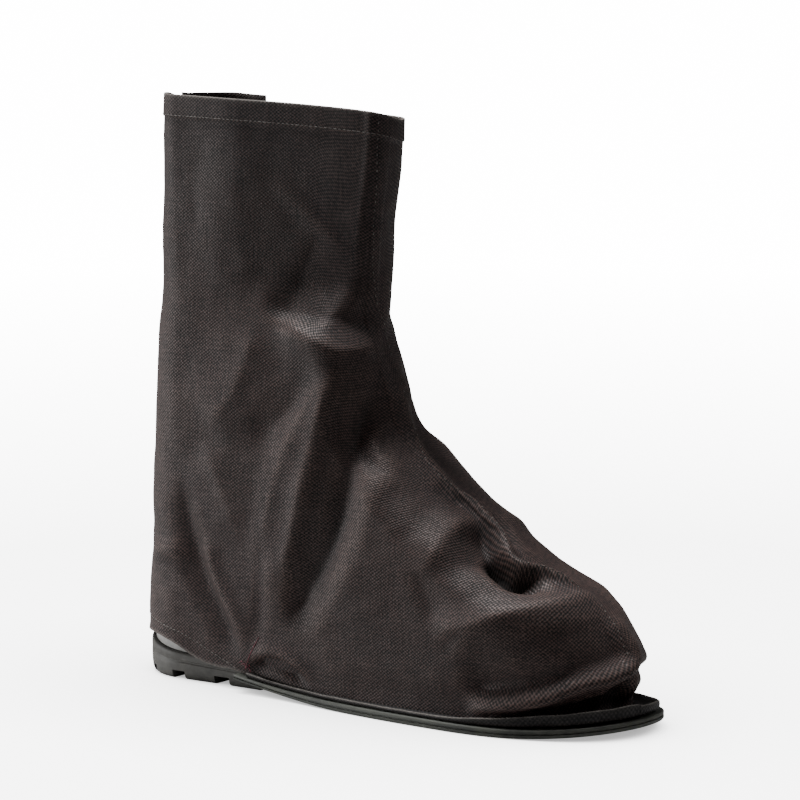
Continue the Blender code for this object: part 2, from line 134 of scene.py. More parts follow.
soft_box("left_light", -1.5, -0.3, 0.05, 0.4, 14.0)
soft_box("right_light", 1.2, -0.1, 1.2, 0.6, 4.5)
soft_box("top_light", -0.5, -0.3, 1.6, 0.5, 69.0)

room = bpy.data.worlds.new("pale_room")
bpy.context.scene.world = room
room.use_nodes = True
room.node_tree.nodes["Background"].inputs["Color"].default_value = (1.0, 1.0, 1.0, 1.0)
room.node_tree.nodes["Background"].inputs["Strength"].default_value = ROOM_LIGHT

floor_mesh = bpy.data.meshes.new("floor")
floor_corners = [(x * FLOOR_HALF, y * FLOOR_HALF, 0) for x, y in ((-1, -1), (1, -1), (1, 1), (-1, 1))]
floor_mesh.from_pydata(floor_corners, [], [(0, 1, 2, 3)])
floor = add_object("floor", floor_mesh)
# The floor's own glow is kept off the gaiter, so that the folds stay lit from the sides and from above
lit_by_floor = bpy.data.collections.new("lit_by_floor")
lit_by_floor.objects.link(floor)
floor.light_linking.receiver_collection = lit_by_floor
floor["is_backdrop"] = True

# %% [markdown]
# ## One way to add a node
# Every material below is a small tree of nodes. One function adds a node, gives it its settings and links it
# up, and a few short ones call it for what comes often: maths, noise, a change of range, a mix of colours. So
# a tree reads from top to bottom. Colours are written as on a colour chart and turned to linear light.

# %% Nodes and colours
def add_node(tree, kind, settings=(), links=()):
    """A new node. A setting is one of its options or an input's value; a link is an input's source."""
    made = tree.nodes.new(kind)
    for key, value in dict(settings).items():
        if isinstance(key, str) and hasattr(made, key):
            setattr(made, key, value)
        else:
            made.inputs[key].default_value = value
    for key, source in dict(links).items():
        tree.links.new(source, made.inputs[key])
    return made


def colour(chart):
    """Linear colour of a hex value."""
    parts = [int(chart[i : i + 2], 16) / 255 for i in (1, 3, 5)]
    return (*[c / 12.92 if c <= 0.04045 else ((c + 0.055) / 1.055) ** 2.4 for c in parts], 1.0)


def maths(tree, operation, *terms):
    """Result of a sum, a product and so on. A term is a plain number or another node's output."""
    plain_terms = {i: term for i, term in enumerate(terms) if isinstance(term, float)}
    linked = {i: term for i, term in enumerate(terms) if i not in plain_terms}
    return add_node(tree, "ShaderNodeMath", {"operation": operation, **plain_terms}, linked).outputs[0]


def noise(tree, where, scale, detail=2.0, roughness=0.5, output="Fac"):
    """Soft noise at a place."""
    settings = {"Scale": scale, "Detail": detail, "Roughness": roughness}
    return add_node(tree, "ShaderNodeTexNoise", settings, {"Vector": where}).outputs[output]


def remap(tree, value, low, high, to_low=0.0, to_high=1.0):
    """A value taken from one range to another, and held at its ends."""
    settings = {"From Min": low, "From Max": high, "To Min": to_low, "To Max": to_high}
    return add_node(tree, "ShaderNodeMapRange", settings, {"Value": value}).outputs[0]


def blend(tree, share, first, second):
    """Mix of two colours. Each is a hex value or another node's output."""
    tones = {6: first, 7: second}
    charted = {key: colour(tone) for key, tone in tones.items() if isinstance(tone, str)}
    linked = {key: tone for key, tone in tones.items() if key not in charted}
    return add_node(tree, "ShaderNodeMix", {"data_type": "RGBA", **charted}, {0: share, **linked}).outputs[2]


def object_place(tree):
    """Place on the piece, in metres."""
    return add_node(tree, "ShaderNodeTexCoord").outputs["Object"]


def new_material(name, settings):
    """A new material, its tree and its surface shader."""
    material = bpy.data.materials.new(name)
    material.use_nodes = True
    tree = material.node_tree
    shader = tree.nodes["Principled BSDF"]
    for key, value in settings.items():
        shader.inputs[key].default_value = value
    return material, tree, shader


def feed(tree, shader, sources):
    """Links outputs to the surface shader's inputs."""
    for key, source in sources.items():
        tree.links.new(source, shader.inputs[key])


# The floor is a lit table of white acrylic: it glows, so it stays white far behind the gaiter. Its glow is
# dimmed where the sole stands close over it, as a painted contact shadow
acrylic, tree, shader = new_material("white_acrylic_table", {
    "Roughness": 0.9, "Base Color": colour("#a8a8a8"), "Emission Color": colour("#ffffff"),
})
painted_contact_shadow = add_node(tree, "ShaderNodeAmbientOcclusion", {"samples": 12, "Distance": 0.16})
glow_with_painted_shadow = remap(tree, painted_contact_shadow.outputs["AO"], 0.1, 1.0, 0.5, 6.0)
away = add_node(tree, "ShaderNodeVectorMath", {"operation": "LENGTH"}, {0: object_place(tree)})
spread = remap(tree, away.outputs["Value"], 0.5, 2.0, 1.0, 2.6)
feed(tree, shader, {"Emission Strength": maths(tree, "MULTIPLY", glow_with_painted_shadow, spread)})
floor_mesh.materials.append(acrylic)

# %% [markdown]
# ## Coated polyester
# The upper is a coarse plain weave of dyed polyester, coated on the back. Each crossing of the threads shows
# as a small pillow, light where a thread is on top and dark beside it, and the dye has a warm brown cast. The
# pattern follows a map laid along the cloth in metres, so that it turns with the folds. Threads of about
# 0.7 mm would be one pixel wide here, so they are drawn a little coarser to show. Where a fold stands proud
# the coating is rubbed a little paler, and along the rim the edge is paler: partly fray, partly a painted
# highlight. Low down the cloth is painted paler, as painted light from the floor, and the bottom of a deep
# fold is painted darker, as painted shade.

# %% Coated polyester
WARP = 1.2 * MM
WEFT = 0.9 * MM
WANDER = 0.9 * MM
# Noise along one thread: how finely it changes across the thread, and how slowly along it
SLUB_FINE = 700.0
SLUB_LONG = 60.0


def woven_cloth(name, shade, tone, worn, pale_edge_colour):
    """Plain-woven cloth in the colours of its pinholes, threads, rubbed folds and pale edges (partly fray,
    partly painted highlight).
    """
    material, tree, shader = new_material(name, {
        "IOR": 1.5, "Specular IOR Level": 0.32, "Sheen Weight": 0.06, "Sheen Roughness": 0.55,
        "Sheen Tint": colour("#8d8480"),
    })
    cloth = add_node(tree, "ShaderNodeUVMap", {"uv_map": "weave"}).outputs[0]
    wander = noise(tree, cloth, 160.0, output="Color")
    push = add_node(tree, "ShaderNodeVectorMath", {"operation": "MULTIPLY_ADD", 1: (WANDER,) * 3},
                    {0: wander, 2: cloth})
    split = add_node(tree, "ShaderNodeSeparateXYZ", (), {0: push.outputs[0]}).outputs
    waves = [maths(tree, "SINE", maths(tree, "MULTIPLY", split[axis], math.pi / thread))
             for axis, thread in (("X", WARP), ("Y", WEFT))]
    crossing = maths(tree, "MULTIPLY", *waves)
    # Slubs: single threads that are thicker or paler for a stretch, and fibres that catch the light in spots
    slubs = []
    for squeeze in ((SLUB_FINE, SLUB_LONG, 1.0), (SLUB_LONG, SLUB_FINE, 1.0)):
        strands = add_node(tree, "ShaderNodeMapping", {"Scale": squeeze}, {"Vector": cloth})
        slubs.append(noise(tree, strands.outputs[0], 1.0, 1.0))
    fibres = noise(tree, cloth, 750.0, 1.0)
    grain = maths(tree, "MULTIPLY_ADD", maths(tree, "ADD", *slubs), 0.45, fibres)
    level = maths(tree, "MULTIPLY_ADD", crossing, 0.5, grain)
    share = remap(tree, level, 0.76, 1.4)
    weave = blend(tree, share, shade, tone)
    # Dye and dust: broad, faint patches
    patch = remap(tree, noise(tree, cloth, 18.0, 4.0, 0.6), 0.4, 0.75, 0.0, 0.14)
    patchy = blend(tree, patch, weave, worn)
    rubbed, edge_paling, painted_crease_shade = (
        add_node(tree, "ShaderNodeAttribute", {"attribute_name": mark}).outputs["Fac"]
        for mark in ("fold_wear", "pale_edge", "fold_painted_shade"))
    folded = blend(tree, maths(tree, "MULTIPLY", rubbed, share), patchy, worn)
    broken_edge = maths(tree, "MULTIPLY", edge_paling, noise(tree, cloth, 420.0))
    edged = blend(tree, broken_edge, folded, pale_edge_colour)
    # Painted light and shade: the cloth is painted paler low down, standing in for light from the floor, and
    # the bottom of a deep fold is painted darker as painted shade
    above = add_node(tree, "ShaderNodeSeparateXYZ", (), {0: object_place(tree)})
    painted_floor_light = remap(tree, above.outputs["Z"], 0.16, 0.28, 1.0, 0.66)
    painted_light_and_shade = maths(tree, "MULTIPLY", painted_floor_light, maths(tree, "SUBTRACT", 1.0, painted_crease_shade))
    with_painted_light = add_node(tree, "ShaderNodeVectorMath", {"operation": "SCALE"}, {0: edged, "Scale": painted_light_and_shade})
    bump = add_node(tree, "ShaderNodeBump", {"Strength": 0.55, "Distance": 0.35 * MM}, {"Height": level})
    feed(tree, shader, {
        "Base Color": with_painted_light.outputs[0],
        "Roughness": remap(tree, share, 0.0, 1.0, 0.75, 0.5),
        "Normal": bump.outputs[0],
    })
    return material


coated_polyester = woven_cloth("coated_polyester", "#040303", "#473330", "#594640", "#8d8781")
# The welt is the upper's own cloth, coloured far darker here: painted shade for its face under the overhanging
# toe
shaded_welt_cloth = woven_cloth("welt_cloth_painted_shade", "#060505", "#1d1817", "#2a2422", "#8d8781")
print("cloth", coated_polyester.name, shaded_welt_cloth.name)

# %% [markdown]
# ## Moulded rubber
# The sole plate is black rubber filled with chalk, which weathers to a greenish grey. It is moulded, so it has
# a fine satin skin with a faint speckle, paler dust on the faces that scuff, and next to no gloss.

# %% Moulded rubber
def moulded_rubber(name, body, bloom, grit):
    """Satin rubber: body is its colour, bloom the weathered film on it, grit its speckle's size in metres."""
    material, tree, shader = new_material(name, {"IOR": 1.52, "Specular IOR Level": 0.4})
    place = object_place(tree)
    film = remap(tree, noise(tree, place, 55.0, 5.0, 0.6), 0.36, 0.70, 0.0, 0.75)
    speck = noise(tree, place, 1 / grit, 3.0)
    bump = add_node(tree, "ShaderNodeBump", {"Strength": 0.35, "Distance": 0.25 * MM}, {"Height": speck})
    feed(tree, shader, {
        "Base Color": blend(tree, film, body, bloom),
        "Roughness": remap(tree, speck, 0.0, 1.0, 0.48, 0.72),
        "Normal": bump.outputs[0],
    })
    return material


sole_rubber = moulded_rubber("weathered_sole_rubber", "#353733", "#54564e", 0.9 * MM)
heel_rubber = moulded_rubber("moulded_heel_rubber", "#3f3e3b", "#605e59", 1.2 * MM)
print("rubber", sole_rubber.name, heel_rubber.name)

# %% [markdown]
# ## Counter, tape and thread
# The stiff counter round the heel is injection-moulded plastic, mid grey and smooth enough for a soft
# highlight. Hook-and-loop tape is matt black pile. Sewing thread is twisted polyester: a pale grey one for the
# hems, a dull red one for the tack beside the heel. At this size a twist shows only as small changes of tone
# along a stitch.

# %% Counter, tape and thread
counter_plastic, tree, shader = new_material("moulded_grey_plastic", {"IOR": 1.5})
scuffs = noise(tree, object_place(tree), 90.0, 6.0, 0.65)
feed(tree, shader, {
    "Base Color": blend(tree, remap(tree, scuffs, 0.4, 0.72), "#8c8b88", "#acaaa6"),
    "Roughness": remap(tree, scuffs, 0.0, 1.0, 0.26, 0.46),
})


def thread_material(name, dark, pale, twist):
    """Twisted sewing thread, with its tone changing over the length of a twist in metres."""
    material, tree, shader = new_material(name, {"IOR": 1.5, "Roughness": 0.6, "Sheen Weight": 0.2})
    turns = noise(tree, object_place(tree), 1 / twist, 1.0)
    feed(tree, shader, {"Base Color": blend(tree, turns, dark, pale)})
    return material


pale_thread = thread_material("grey_polyester_thread", "#393431", "#6f6963", 1.5 * MM)
red_thread = thread_material("red_polyester_thread", "#4a1a25", "#8d3245", 1.5 * MM)
tape_pile = thread_material("hook_and_loop_pile", "#101011", "#262627", 2.0 * MM)
print("threads", pale_thread.name, red_thread.name, tape_pile.name)

# %% [markdown]
# ## Curves and skins
# A shoe has no straight stretch to measure from, so its shapes are rows of loops: horizontal sections for the
# upper, outlines at several heights for sole and heel. A skin joins neighbouring loops with four-sided faces.
# Numpy handles a whole loop at once, which is far quicker than adding points one by one.

# %% Curves and skins
def ease(share):
    """Smooth step from 0 to 1."""
    share = np.clip(share, 0.0, 1.0)
    return share * share * (3.0 - 2.0 * share)


def smooth_curve(at, knots, values):
    """Smooth curve through the values at the knots, read at the given places."""
    knots = np.asarray(knots, float)
    values = np.asarray(values, float)
    slopes = np.gradient(values, knots)
    at = np.clip(np.asarray(at, float), knots[0], knots[-1])
    i = np.clip(np.searchsorted(knots, at) - 1, 0, len(knots) - 2)
    span = knots[i + 1] - knots[i]
    t = (at - knots[i]) / span
    rise = values[i] * (1 + 2 * t) * (1 - t) ** 2 + values[i + 1] * t * t * (3 - 2 * t)
    return rise + span * (slopes[i] * t * (1 - t) ** 2 + slopes[i + 1] * t * t * (t - 1))


def distances(points):
    """Distance of each point of a polyline from its first, along the line."""
    steps = np.linalg.norm(np.diff(points, axis=0), axis=1)
    return np.concatenate([[0.0], np.cumsum(steps)])


def resample(points, stops):
    """Points at the given distances along a polyline."""
    along = distances(points)
    return np.stack([np.interp(stops, along, points[:, k]) for k in range(points.shape[1])], 1)


def even_inset(points, count, inset):
    """A plan polyline as count even points, each moved to the left of the way along it by the inset."""
    points = resample(points, np.linspace(0, distances(points)[-1], count))
    ahead = np.gradient(points, axis=0)
    ahead /= np.linalg.norm(ahead, axis=1)[:, None]
    return points + np.stack([-ahead[:, 1], ahead[:, 0]], 1) * inset


def at_height(plan, height):
    """Plan points lifted to a height, or to one height a point."""
    return np.concatenate([plan, np.broadcast_to(height, len(plan))[:, None]], 1)


def skin(name, loops, material, ring=False, sharp=40.0):
    """A closed piece through rows of loops in millimetres: capped at both ends, or joined up as a ring."""
    loops = np.asarray(loops, float)
    rows, columns = loops.shape[:2]
    row, column = np.meshgrid(np.arange(rows if ring else rows - 1), np.arange(columns), indexing="ij")
    below, beside = (row + 1) % rows, (column + 1) % columns
    quads = np.stack([row * columns + column, row * columns + beside,
                      below * columns + beside, below * columns + column], -1).reshape(-1, 4)
    faces = quads.tolist()
    if not ring:
        for first, step in ((0, -1), ((rows - 1) * columns, 1)):
            for i in range((columns - 1) // 2):
                rung = [i, i + 1, columns - 2 - i, columns - 1 - i][::step]
                faces.append([first + k for k in dict.fromkeys(rung)])
    points = loops.reshape(-1, 3)
    # Faces that look inwards are turned round
    a, b, c, d = (points[quads[:, k]] for k in range(4))
    if np.einsum("ij,ij->", np.cross(c - a, d - b), (a + b + c + d) / 4 - points.mean(0)) < 0:
        faces = [face[::-1] for face in faces]
    mesh = bpy.data.meshes.new(name)
    mesh.from_pydata(((points + SHIFT) * MM).tolist(), [], faces)
    mesh.shade_smooth()
    mesh.set_sharp_from_angle(angle=math.radians(sharp))
    mesh.materials.append(material)
    return add_object(name, mesh)


def lay_weave(piece, across, along):
    """Lays the weave's map on a piece: each point's place across and along the cloth, in millimetres."""
    mesh = piece.data
    corners = np.zeros(len(mesh.loops), int)
    mesh.loops.foreach_get("vertex_index", corners)
    places = np.stack([np.ravel(across)[corners], np.ravel(along)[corners]], 1) * MM
    layer = mesh.uv_layers.new(name="weave")
    layer.data.foreach_set("uv", places.astype(np.float32).ravel())


def give_mark(piece, name, values):
    """Keeps one number a point on a piece, for its material to read."""
    kept = piece.data.attributes.new(name, "FLOAT", "POINT")
    kept.data.foreach_set("value", np.ravel(values).astype(np.float32))


def make_plain(piece):
    """Makes what a piece's modifiers give its plain mesh."""
    seen = piece.evaluated_get(bpy.context.evaluated_depsgraph_get())
    mesh = bpy.data.meshes.new_from_object(seen)
    piece.modifiers.clear()
    piece.data = mesh
    mesh.name = piece.name


def dress(piece, node):
    """The piece stands for a node of the frame and rides with it."""
    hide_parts(node)
    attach(piece, "root")
    print(piece.name, len(piece.data.polygons), "faces for", node)


# %% [markdown]
# ## Sole
# The sole is one moulded plate under the forefoot. It lies on the floor at the ball, rises at the arch into
# two short wings beside the heel, and springs up a little at the toe. A groove runs round its edge, and
# shallow grooves cross it beneath. It is a stack of outlines, with the heel's room and the tread cut out by
# Booleans.

# %% Sole
SOLE_REAR = 82.0
SOLE_TIP = 317.0
SOLE_THICKNESS = 4.6
SOLE_REAR_THICKNESS = 2.6
SOLE_TOE_IN = 5.0
ARCH_RISE = 7.4
ARCH_START = 165.0
TOE_SPRING = 5.5
TOE_SPRING_START = 250.0
TOE_ROUND_START = 228.0
TOE_ROUND_POWER = 2.15
SOLE_HALVES = np.array([
    # x, outer half width, inner half width
    (70, 45.0, 44.0), (110, 45.0, 42.5), (150, 48.5, 45.0), (190, 52.0, 50.0), (230, 54.0, 52.5),
    (317, 52.0, 52.0),
])
# From the floor up: how far each line lies inside the outline, and its share of the thickness
SOLE_SIDE = (
    (1.3, 0.0), (0.5, 0.05), (0.1, 0.14), (0.0, 0.22), (0.0, 0.40), (0.25, 0.44), (0.7, 0.47), (0.8, 0.52),
    (0.7, 0.57), (0.25, 0.60), (0.0, 0.64), (0.0, 0.86), (0.2, 0.95), (0.9, 1.0),
)
SOLE_POINTS = 261


def sole_floor(x):
    """Height of the sole's underside: on the floor at the ball, up at the arch and at the toe."""
    arch = ARCH_RISE * np.clip((ARCH_START - x) / (ARCH_START - SOLE_REAR), 0, 1.2) ** 2
    toe = TOE_SPRING * np.clip((x - TOE_SPRING_START) / (SOLE_TIP - TOE_SPRING_START), 0, 1) ** 2
    return arch + toe


def sole_thickness(x):
    """Thickness of the plate, which thins out to the ends of its wings."""
    full = ease((x - SOLE_REAR) / (ARCH_START - SOLE_REAR))
    return SOLE_REAR_THICKNESS + (SOLE_THICKNESS - SOLE_REAR_THICKNESS) * full


def sole_top(x):
    """Height of the plate's upper face."""
    return sole_floor(x) + sole_thickness(x)


def sole_outline(inset, count=SOLE_POINTS):
    """Plan points round the sole, from the outer rear corner by the toe to the inner rear corner."""
    swing = np.linspace(0.0, math.pi / 2, 420)
    x = SOLE_REAR + (SOLE_TIP - SOLE_REAR) * np.sin(swing)
    turn = np.clip((x - TOE_ROUND_START) / (SOLE_TIP - TOE_ROUND_START), 0, 1)
    narrowing = (1 - turn**TOE_ROUND_POWER) ** (1 / TOE_ROUND_POWER)
    centre = SOLE_TOE_IN * ease((x - 150) / 150)
    outer, inner = (
        np.stack([x, centre + side * narrowing * smooth_curve(x, SOLE_HALVES[:, 0], SOLE_HALVES[:, k])], 1)
        for side, k in ((-1, 1), (1, 2)))
    return even_inset(np.concatenate([outer, inner[::-1][1:]]), count, inset)


def stack(side, outline, floor_line, tall):
    """Loops of a side from the floor up, from its lines and the heights of its underside."""
    loops = []
    for inset, share in side:
        plan = outline(inset)
        loops.append(at_height(plan, floor_line(plan[:, 0]) + tall(plan[:, 0]) * share))
    return loops


sole = skin("sole_plate", stack(SOLE_SIDE, sole_outline, sole_floor, sole_thickness), sole_rubber)
print("sole before cutting", len(sole.data.polygons), "faces")

# %% [markdown]
# ## Heel and counter
# The heel is a rubber block with lugs, higher at its back, where its top edge rolls over. The lugs' slots are
# boxes cut out of it, and a fine bevel breaks the cut edges, as a mould does. On it stands the smooth grey
# counter, a thin shell that goes up inside the hem of the upper.

# %% Heel
HEEL_BREAST = 90.0
HEEL_HALF = 36.5
HEEL_BREAST_HALF = 33.5
HEEL_NOSE = 38.0
HEEL_BREAST_HEIGHT = 12.0
HEEL_BACK_HEIGHT = 22.0
HEEL_FALL = 30.0
HEEL_POINTS = 181
HEEL_SIDE = (
    (2.4, 0.0), (1.2, 0.06), (0.6, 0.13), (0.2, 0.28), (0.0, 0.45), (0.0, 0.62), (0.5, 0.66), (0.5, 0.70),
    (0.0, 0.74), (0.0, 0.86), (0.15, 0.93), (0.6, 0.98), (1.3, 1.0),
)


def heel_outline(inset, front=HEEL_BREAST):
    """Plan points round the heel, from its inner front corner by the back to its outer front corner."""
    swing = np.linspace(0.0, math.pi / 2, 90)[::-1]
    rear = HEEL_BACK + HEEL_NOSE * (1 - np.cos(swing))
    x = np.concatenate([np.linspace(front, rear[0], 90)[:-1], rear])
    narrowing = np.concatenate([np.ones(89), np.sin(swing)])
    half = HEEL_HALF + (HEEL_BREAST_HALF - HEEL_HALF) * ease(x / HEEL_BREAST)
    inner = np.stack([x, half * narrowing], 1)
    return even_inset(np.concatenate([inner, inner[::-1][1:] * (1, -1)]), HEEL_POINTS, inset)


def heel_top(x):
    """Height of the heel's upper edge, which rises to the back."""
    return HEEL_BREAST_HEIGHT + (HEEL_BACK_HEIGHT - HEEL_BREAST_HEIGHT) * np.exp(-(x - HEEL_BACK) / HEEL_FALL)


heel = skin("heel_block", stack(HEEL_SIDE, heel_outline, np.zeros_like, heel_top), heel_rubber)

# %% Cut the tread, the heel's room and the lugs
GAP = 0.35
UNDER_FLOOR = -2.0
GROOVE_COUNT = 9
GROOVE_START = 128.0
GROOVE_PITCH = 15.0
GROOVE_WIDTH = 5.0
GROOVE_DEPTH = 1.6
GROOVE_MARGIN = 10.0
LUG_DEPTH = 4.6
LUG_BEVEL = 0.45
# Slots across the heel between its lugs: where each starts, and its width
LUG_SLOTS = ((12.5, 3.5), (31.5, 8.5), (60.0, 10.0))
BACK_SLOTS = (-17.0, 17.0)
BACK_SLOT_HALF = 3.0
PAST_SIDES = 60.0


def box(name, low, high, material):
    """A box to cut with."""
    square = np.array([(low[0], low[1]), (high[0], low[1]), (high[0], high[1]), (low[0], high[1])])
    return skin(name, [at_height(square, low[2]), at_height(square, high[2])], material)


def cut(piece, cutters, bevel=0.0):
    """Takes the cutters out of a piece, breaks the cut edges, and makes the result its plain mesh."""
    for cutter in cutters:
        step = piece.modifiers.new("cut", "BOOLEAN")
        step.solver = "EXACT"
        step.object = cutter
    if bevel:
        soften = piece.modifiers.new("bevel", "BEVEL")
        soften.width = bevel * MM
        soften.segments = 2
        soften.angle_limit = math.radians(50)
        soften.harden_normals = True
    make_plain(piece)
    for cutter in cutters:
        bpy.data.objects.remove(cutter)


grooves = []
for i in range(GROOVE_COUNT):
    x = GROOVE_START + GROOVE_PITCH * i
    outer, inner = (smooth_curve(x, SOLE_HALVES[:, 0], SOLE_HALVES[:, k]) - GROOVE_MARGIN for k in (1, 2))
    top = sole_floor(x + GROOVE_WIDTH / 2) + GROOVE_DEPTH
    ends = (x, -outer, UNDER_FLOOR), (x + GROOVE_WIDTH, inner, top)
    grooves.append(box(f"groove_{i}", *ends, sole_rubber))
room_plan = heel_outline(-GAP, HEEL_BREAST + GAP)
room_loops = [at_height(room_plan, UNDER_FLOOR), at_height(room_plan, 40.0)]
grooves.append(skin("heel_room", room_loops, sole_rubber))
cut(sole, grooves)
dress(sole, "sole")

slots = []
for i, (x, width) in enumerate(LUG_SLOTS):
    ends = (x, -PAST_SIDES, UNDER_FLOOR), (x + width, PAST_SIDES, LUG_DEPTH)
    slots.append(box(f"slot_{i}", *ends, heel_rubber))
for i, y in enumerate(BACK_SLOTS):
    ends = (-9.0, y - BACK_SLOT_HALF, UNDER_FLOOR), (14.2, y + BACK_SLOT_HALF, LUG_DEPTH - 1.0)
    slots.append(box(f"back_slot_{i}", *ends, heel_rubber))
cut(heel, slots, LUG_BEVEL)
dress(heel, "heel")

# %% Counter
COUNTER_TOP = 44.0
COUNTER_INSET = 2.4
COUNTER_WALL = 1.5
COUNTER_FRONT = 66.0
counter_loops = []
for share in np.linspace(0.0, 1.0, 14):
    faces = []
    for inset in (COUNTER_INSET, COUNTER_INSET + COUNTER_WALL):
        plan = heel_outline(inset, COUNTER_FRONT)
        low = heel_top(plan[:, 0]) + GAP
        faces.append(at_height(plan, low + (COUNTER_TOP - low) * share))
    counter_loops.append(np.concatenate([faces[0], faces[1][::-1]]))
counter = skin("heel_counter_shell", counter_loops, counter_plastic)
dress(counter, "heel_counter")

# %% [markdown]
# ## The plain wall of the upper
# Before it creases, the upper is a smooth tube. A handful of horizontal sections says where its back and front
# are, how wide it is, and how its two ends round off. A soft curve through them gives every height between.
# Columns of points run up the tube at fixed distances from the front seam, so the seam, the closure and the
# weave can follow them.

# %% Plain wall
Section = namedtuple("Section", "height back front rear_half front_half rear_nose front_nose toe_in")
SECTIONS = np.array([
    Section(4, -1, 300, 37, 47, 40, 62, 5),
    Section(13, -2, 298, 38, 46, 40, 60, 5),
    Section(25, -2, 304, 39, 47, 40, 58, 5),
    Section(37, -2, 306, 39, 47, 40, 56, 5),
    Section(50, -1, 298, 39, 47, 40, 54, 5),
    Section(64, 0, 283, 39, 46, 40, 52, 5),
    Section(80, 1, 249, 39, 45, 40, 48, 5),
    Section(98, 1, 220, 39, 43, 40, 40, 4),
    Section(118, 3, 192, 39, 41, 38, 34, 3),
    Section(140, 4, 166, 38, 38, 36, 29, 2),
    Section(165, 5, 157, 36, 34, 33, 25, 1),
    Section(190, 6, 147, 34, 30, 30, 21, 0),
    Section(215, 8, 147, 31, 27, 28, 18, 0),
    Section(250, 7, 148, 28, 25, 24, 15, 0),
    Section(290, 8, 153, 25, 23, 20, 12, 0),
    Section(330, 9, 154, 23, 22, 17, 10, 0),
], float)
# On the outer side the slack shaft is drawn in to the seam: from this height on, over this much of it, so far,
# and with a front corner so much tighter
SHAFT_FOOT = 200.0
SHAFT_FADE = 26.0
SHAFT_LEAN = 0.52
CORNER_TIGHTER = 0.4
# On the inner side the arch is hollow, up to this height
ARCH_HOLLOW = 3.5
ARCH_HOLLOW_TOP = 80.0
SEAM_WIDTH = 7.0
FLAP_FRONT_EDGE = 56.0
FLAP_FREE_EDGE = 8.0
FLAP_COLUMNS = 25
HEIGHT_STEP = 2.0
TOE_HEIGHT = 42.0


def half_section(height, side):
    """Close plan points of half a section, from front seam to heel line; side is -1 outer, 1 inner."""
    back, front, rear_half, front_half, rear_nose, front_nose, toe_in = (
        float(smooth_curve(height, SECTIONS[:, 0], SECTIONS[:, k])) for k in range(1, 8))
    drawn_in = ease((height - SHAFT_FOOT) / SHAFT_FADE) if side < 0 else 0.0
    front_nose *= 1 - CORNER_TIGHTER * drawn_in
    swing = np.linspace(0.0, math.pi / 2, 90)
    front_end = front - front_nose * (1 - np.cos(swing))
    rear_end = back + rear_nose * (1 - np.cos(swing[::-1]))
    middle = np.linspace(front_end[-1], rear_end[0], 90)[1:-1]
    x = np.concatenate([front_end, middle, rear_end])
    narrowing = np.concatenate([np.sin(swing), np.ones(len(middle)), np.sin(swing[::-1])])
    along = (x - back) / (front - back)
    half = rear_half + (front_half - rear_half) * ease((along - 0.15) / 0.6)
    if side > 0:
        hollow = np.exp(-(((along - 0.40) / 0.20) ** 2))
        half = half - ARCH_HOLLOW * hollow * (1 - ease(height / ARCH_HOLLOW_TOP))
    else:
        half = half * (1 - SHAFT_LEAN * np.clip((along - 0.36) / 0.58, 0, 1) ** 1.4 * drawn_in)
    return np.stack([x, side * half * narrowing + toe_in * ease((along - 0.45) / 0.55)], 1)


def column_stops(length, side):
    """Distances from the front seam at which the wall's columns stand on one side."""
    if side < 0:
        lap = [0.0, 1.2, 2.5, 4.0, 5.2, 6.2, SEAM_WIDTH - 0.15, SEAM_WIDTH + 0.35]
        return np.array(lap + list(np.linspace(lap[-1], length, 180)[1:]))
    body = np.linspace(0.5, length - FLAP_FRONT_EDGE, 92)
    flap = np.linspace(length - FLAP_FRONT_EDGE, length - FLAP_FREE_EDGE, FLAP_COLUMNS)
    return np.concatenate([body, flap[1:], np.linspace(length - FLAP_FREE_EDGE, length, 6)[1:-1]])


def section_ring(height):
    """One point a column: from the heel line along the outer side to the front seam, and back inside."""
    rings = []
    for side in (-1, 1):
        outline = half_section(height, side)
        rings.append(resample(outline, column_stops(distances(outline)[-1], side)))
    return np.concatenate([rings[0][::-1], rings[1]])


heights = np.arange(2.0, 336.0, HEIGHT_STEP)
plans = np.array([section_ring(h) for h in heights])
columns = np.arange(plans.shape[1])
FRONT = int(np.argmax(plans[np.searchsorted(heights, TOE_HEIGHT), :, 0]))
print(len(heights), "sections of", len(columns), "columns, front seam at column", FRONT)

# %% Rows of the wall
COLLAR_BACK = 316.5
COLLAR_FRONT = 312.0
COLLAR_INNER_DROP = 5.5
HEM_DEPTH = 12.5
# Height of the lower edge round the heel, at places along it
HEEL_HEM = ((-5, 23.0), (28, 22.8), (38, 20.0), (47, 15.8), (58, 12.4), (68, 11.3))
# How far the lower edge round the heel goes on over the sole's wings
WING_LAP = 6.0
WALL_ROWS = 196
# Rows stand closer where the toe and the instep lie flat: how much closer, and at which share of the height
CROWDING = 1.3
CROWDED_SHARE = 0.26
HEM_STEPS = (0.5, 3.0, 5.5, 8.0, 10.2)
RIM_STEPS = (1.0, 0.3)
HEM_ROWS = len(HEM_STEPS) + len(RIM_STEPS)


def wall_points(at):
    """Plain wall points for one height a column."""
    place = np.clip((at - heights[0]) / HEIGHT_STEP, 0, len(heights) - 1.001)
    low = place.astype(int)
    share = (place - low)[:, None]
    return at_height(plans[low, columns] * (1 - share) + plans[low + 1, columns] * share, at)


def hem_line(x):
    """Lower edge of the wall: on the sole in front, rising round the heel behind it."""
    meeting = SOLE_REAR - WING_LAP
    on_sole = sole_top(np.maximum(x, meeting)) + GAP
    stations = np.array([*HEEL_HEM, (meeting, sole_top(meeting) + GAP)])
    return np.where(x < meeting, smooth_curve(x, stations[:, 0], stations[:, 1]), on_sole)


def grid_normals(grid):
    """Outward unit normals of rings that run from the heel along the outer side to the front and back."""
    normal = np.cross(np.roll(grid, -1, 1) - np.roll(grid, 1, 1), np.gradient(grid, axis=0))
    return normal / np.linalg.norm(normal, axis=2)[:, :, None]


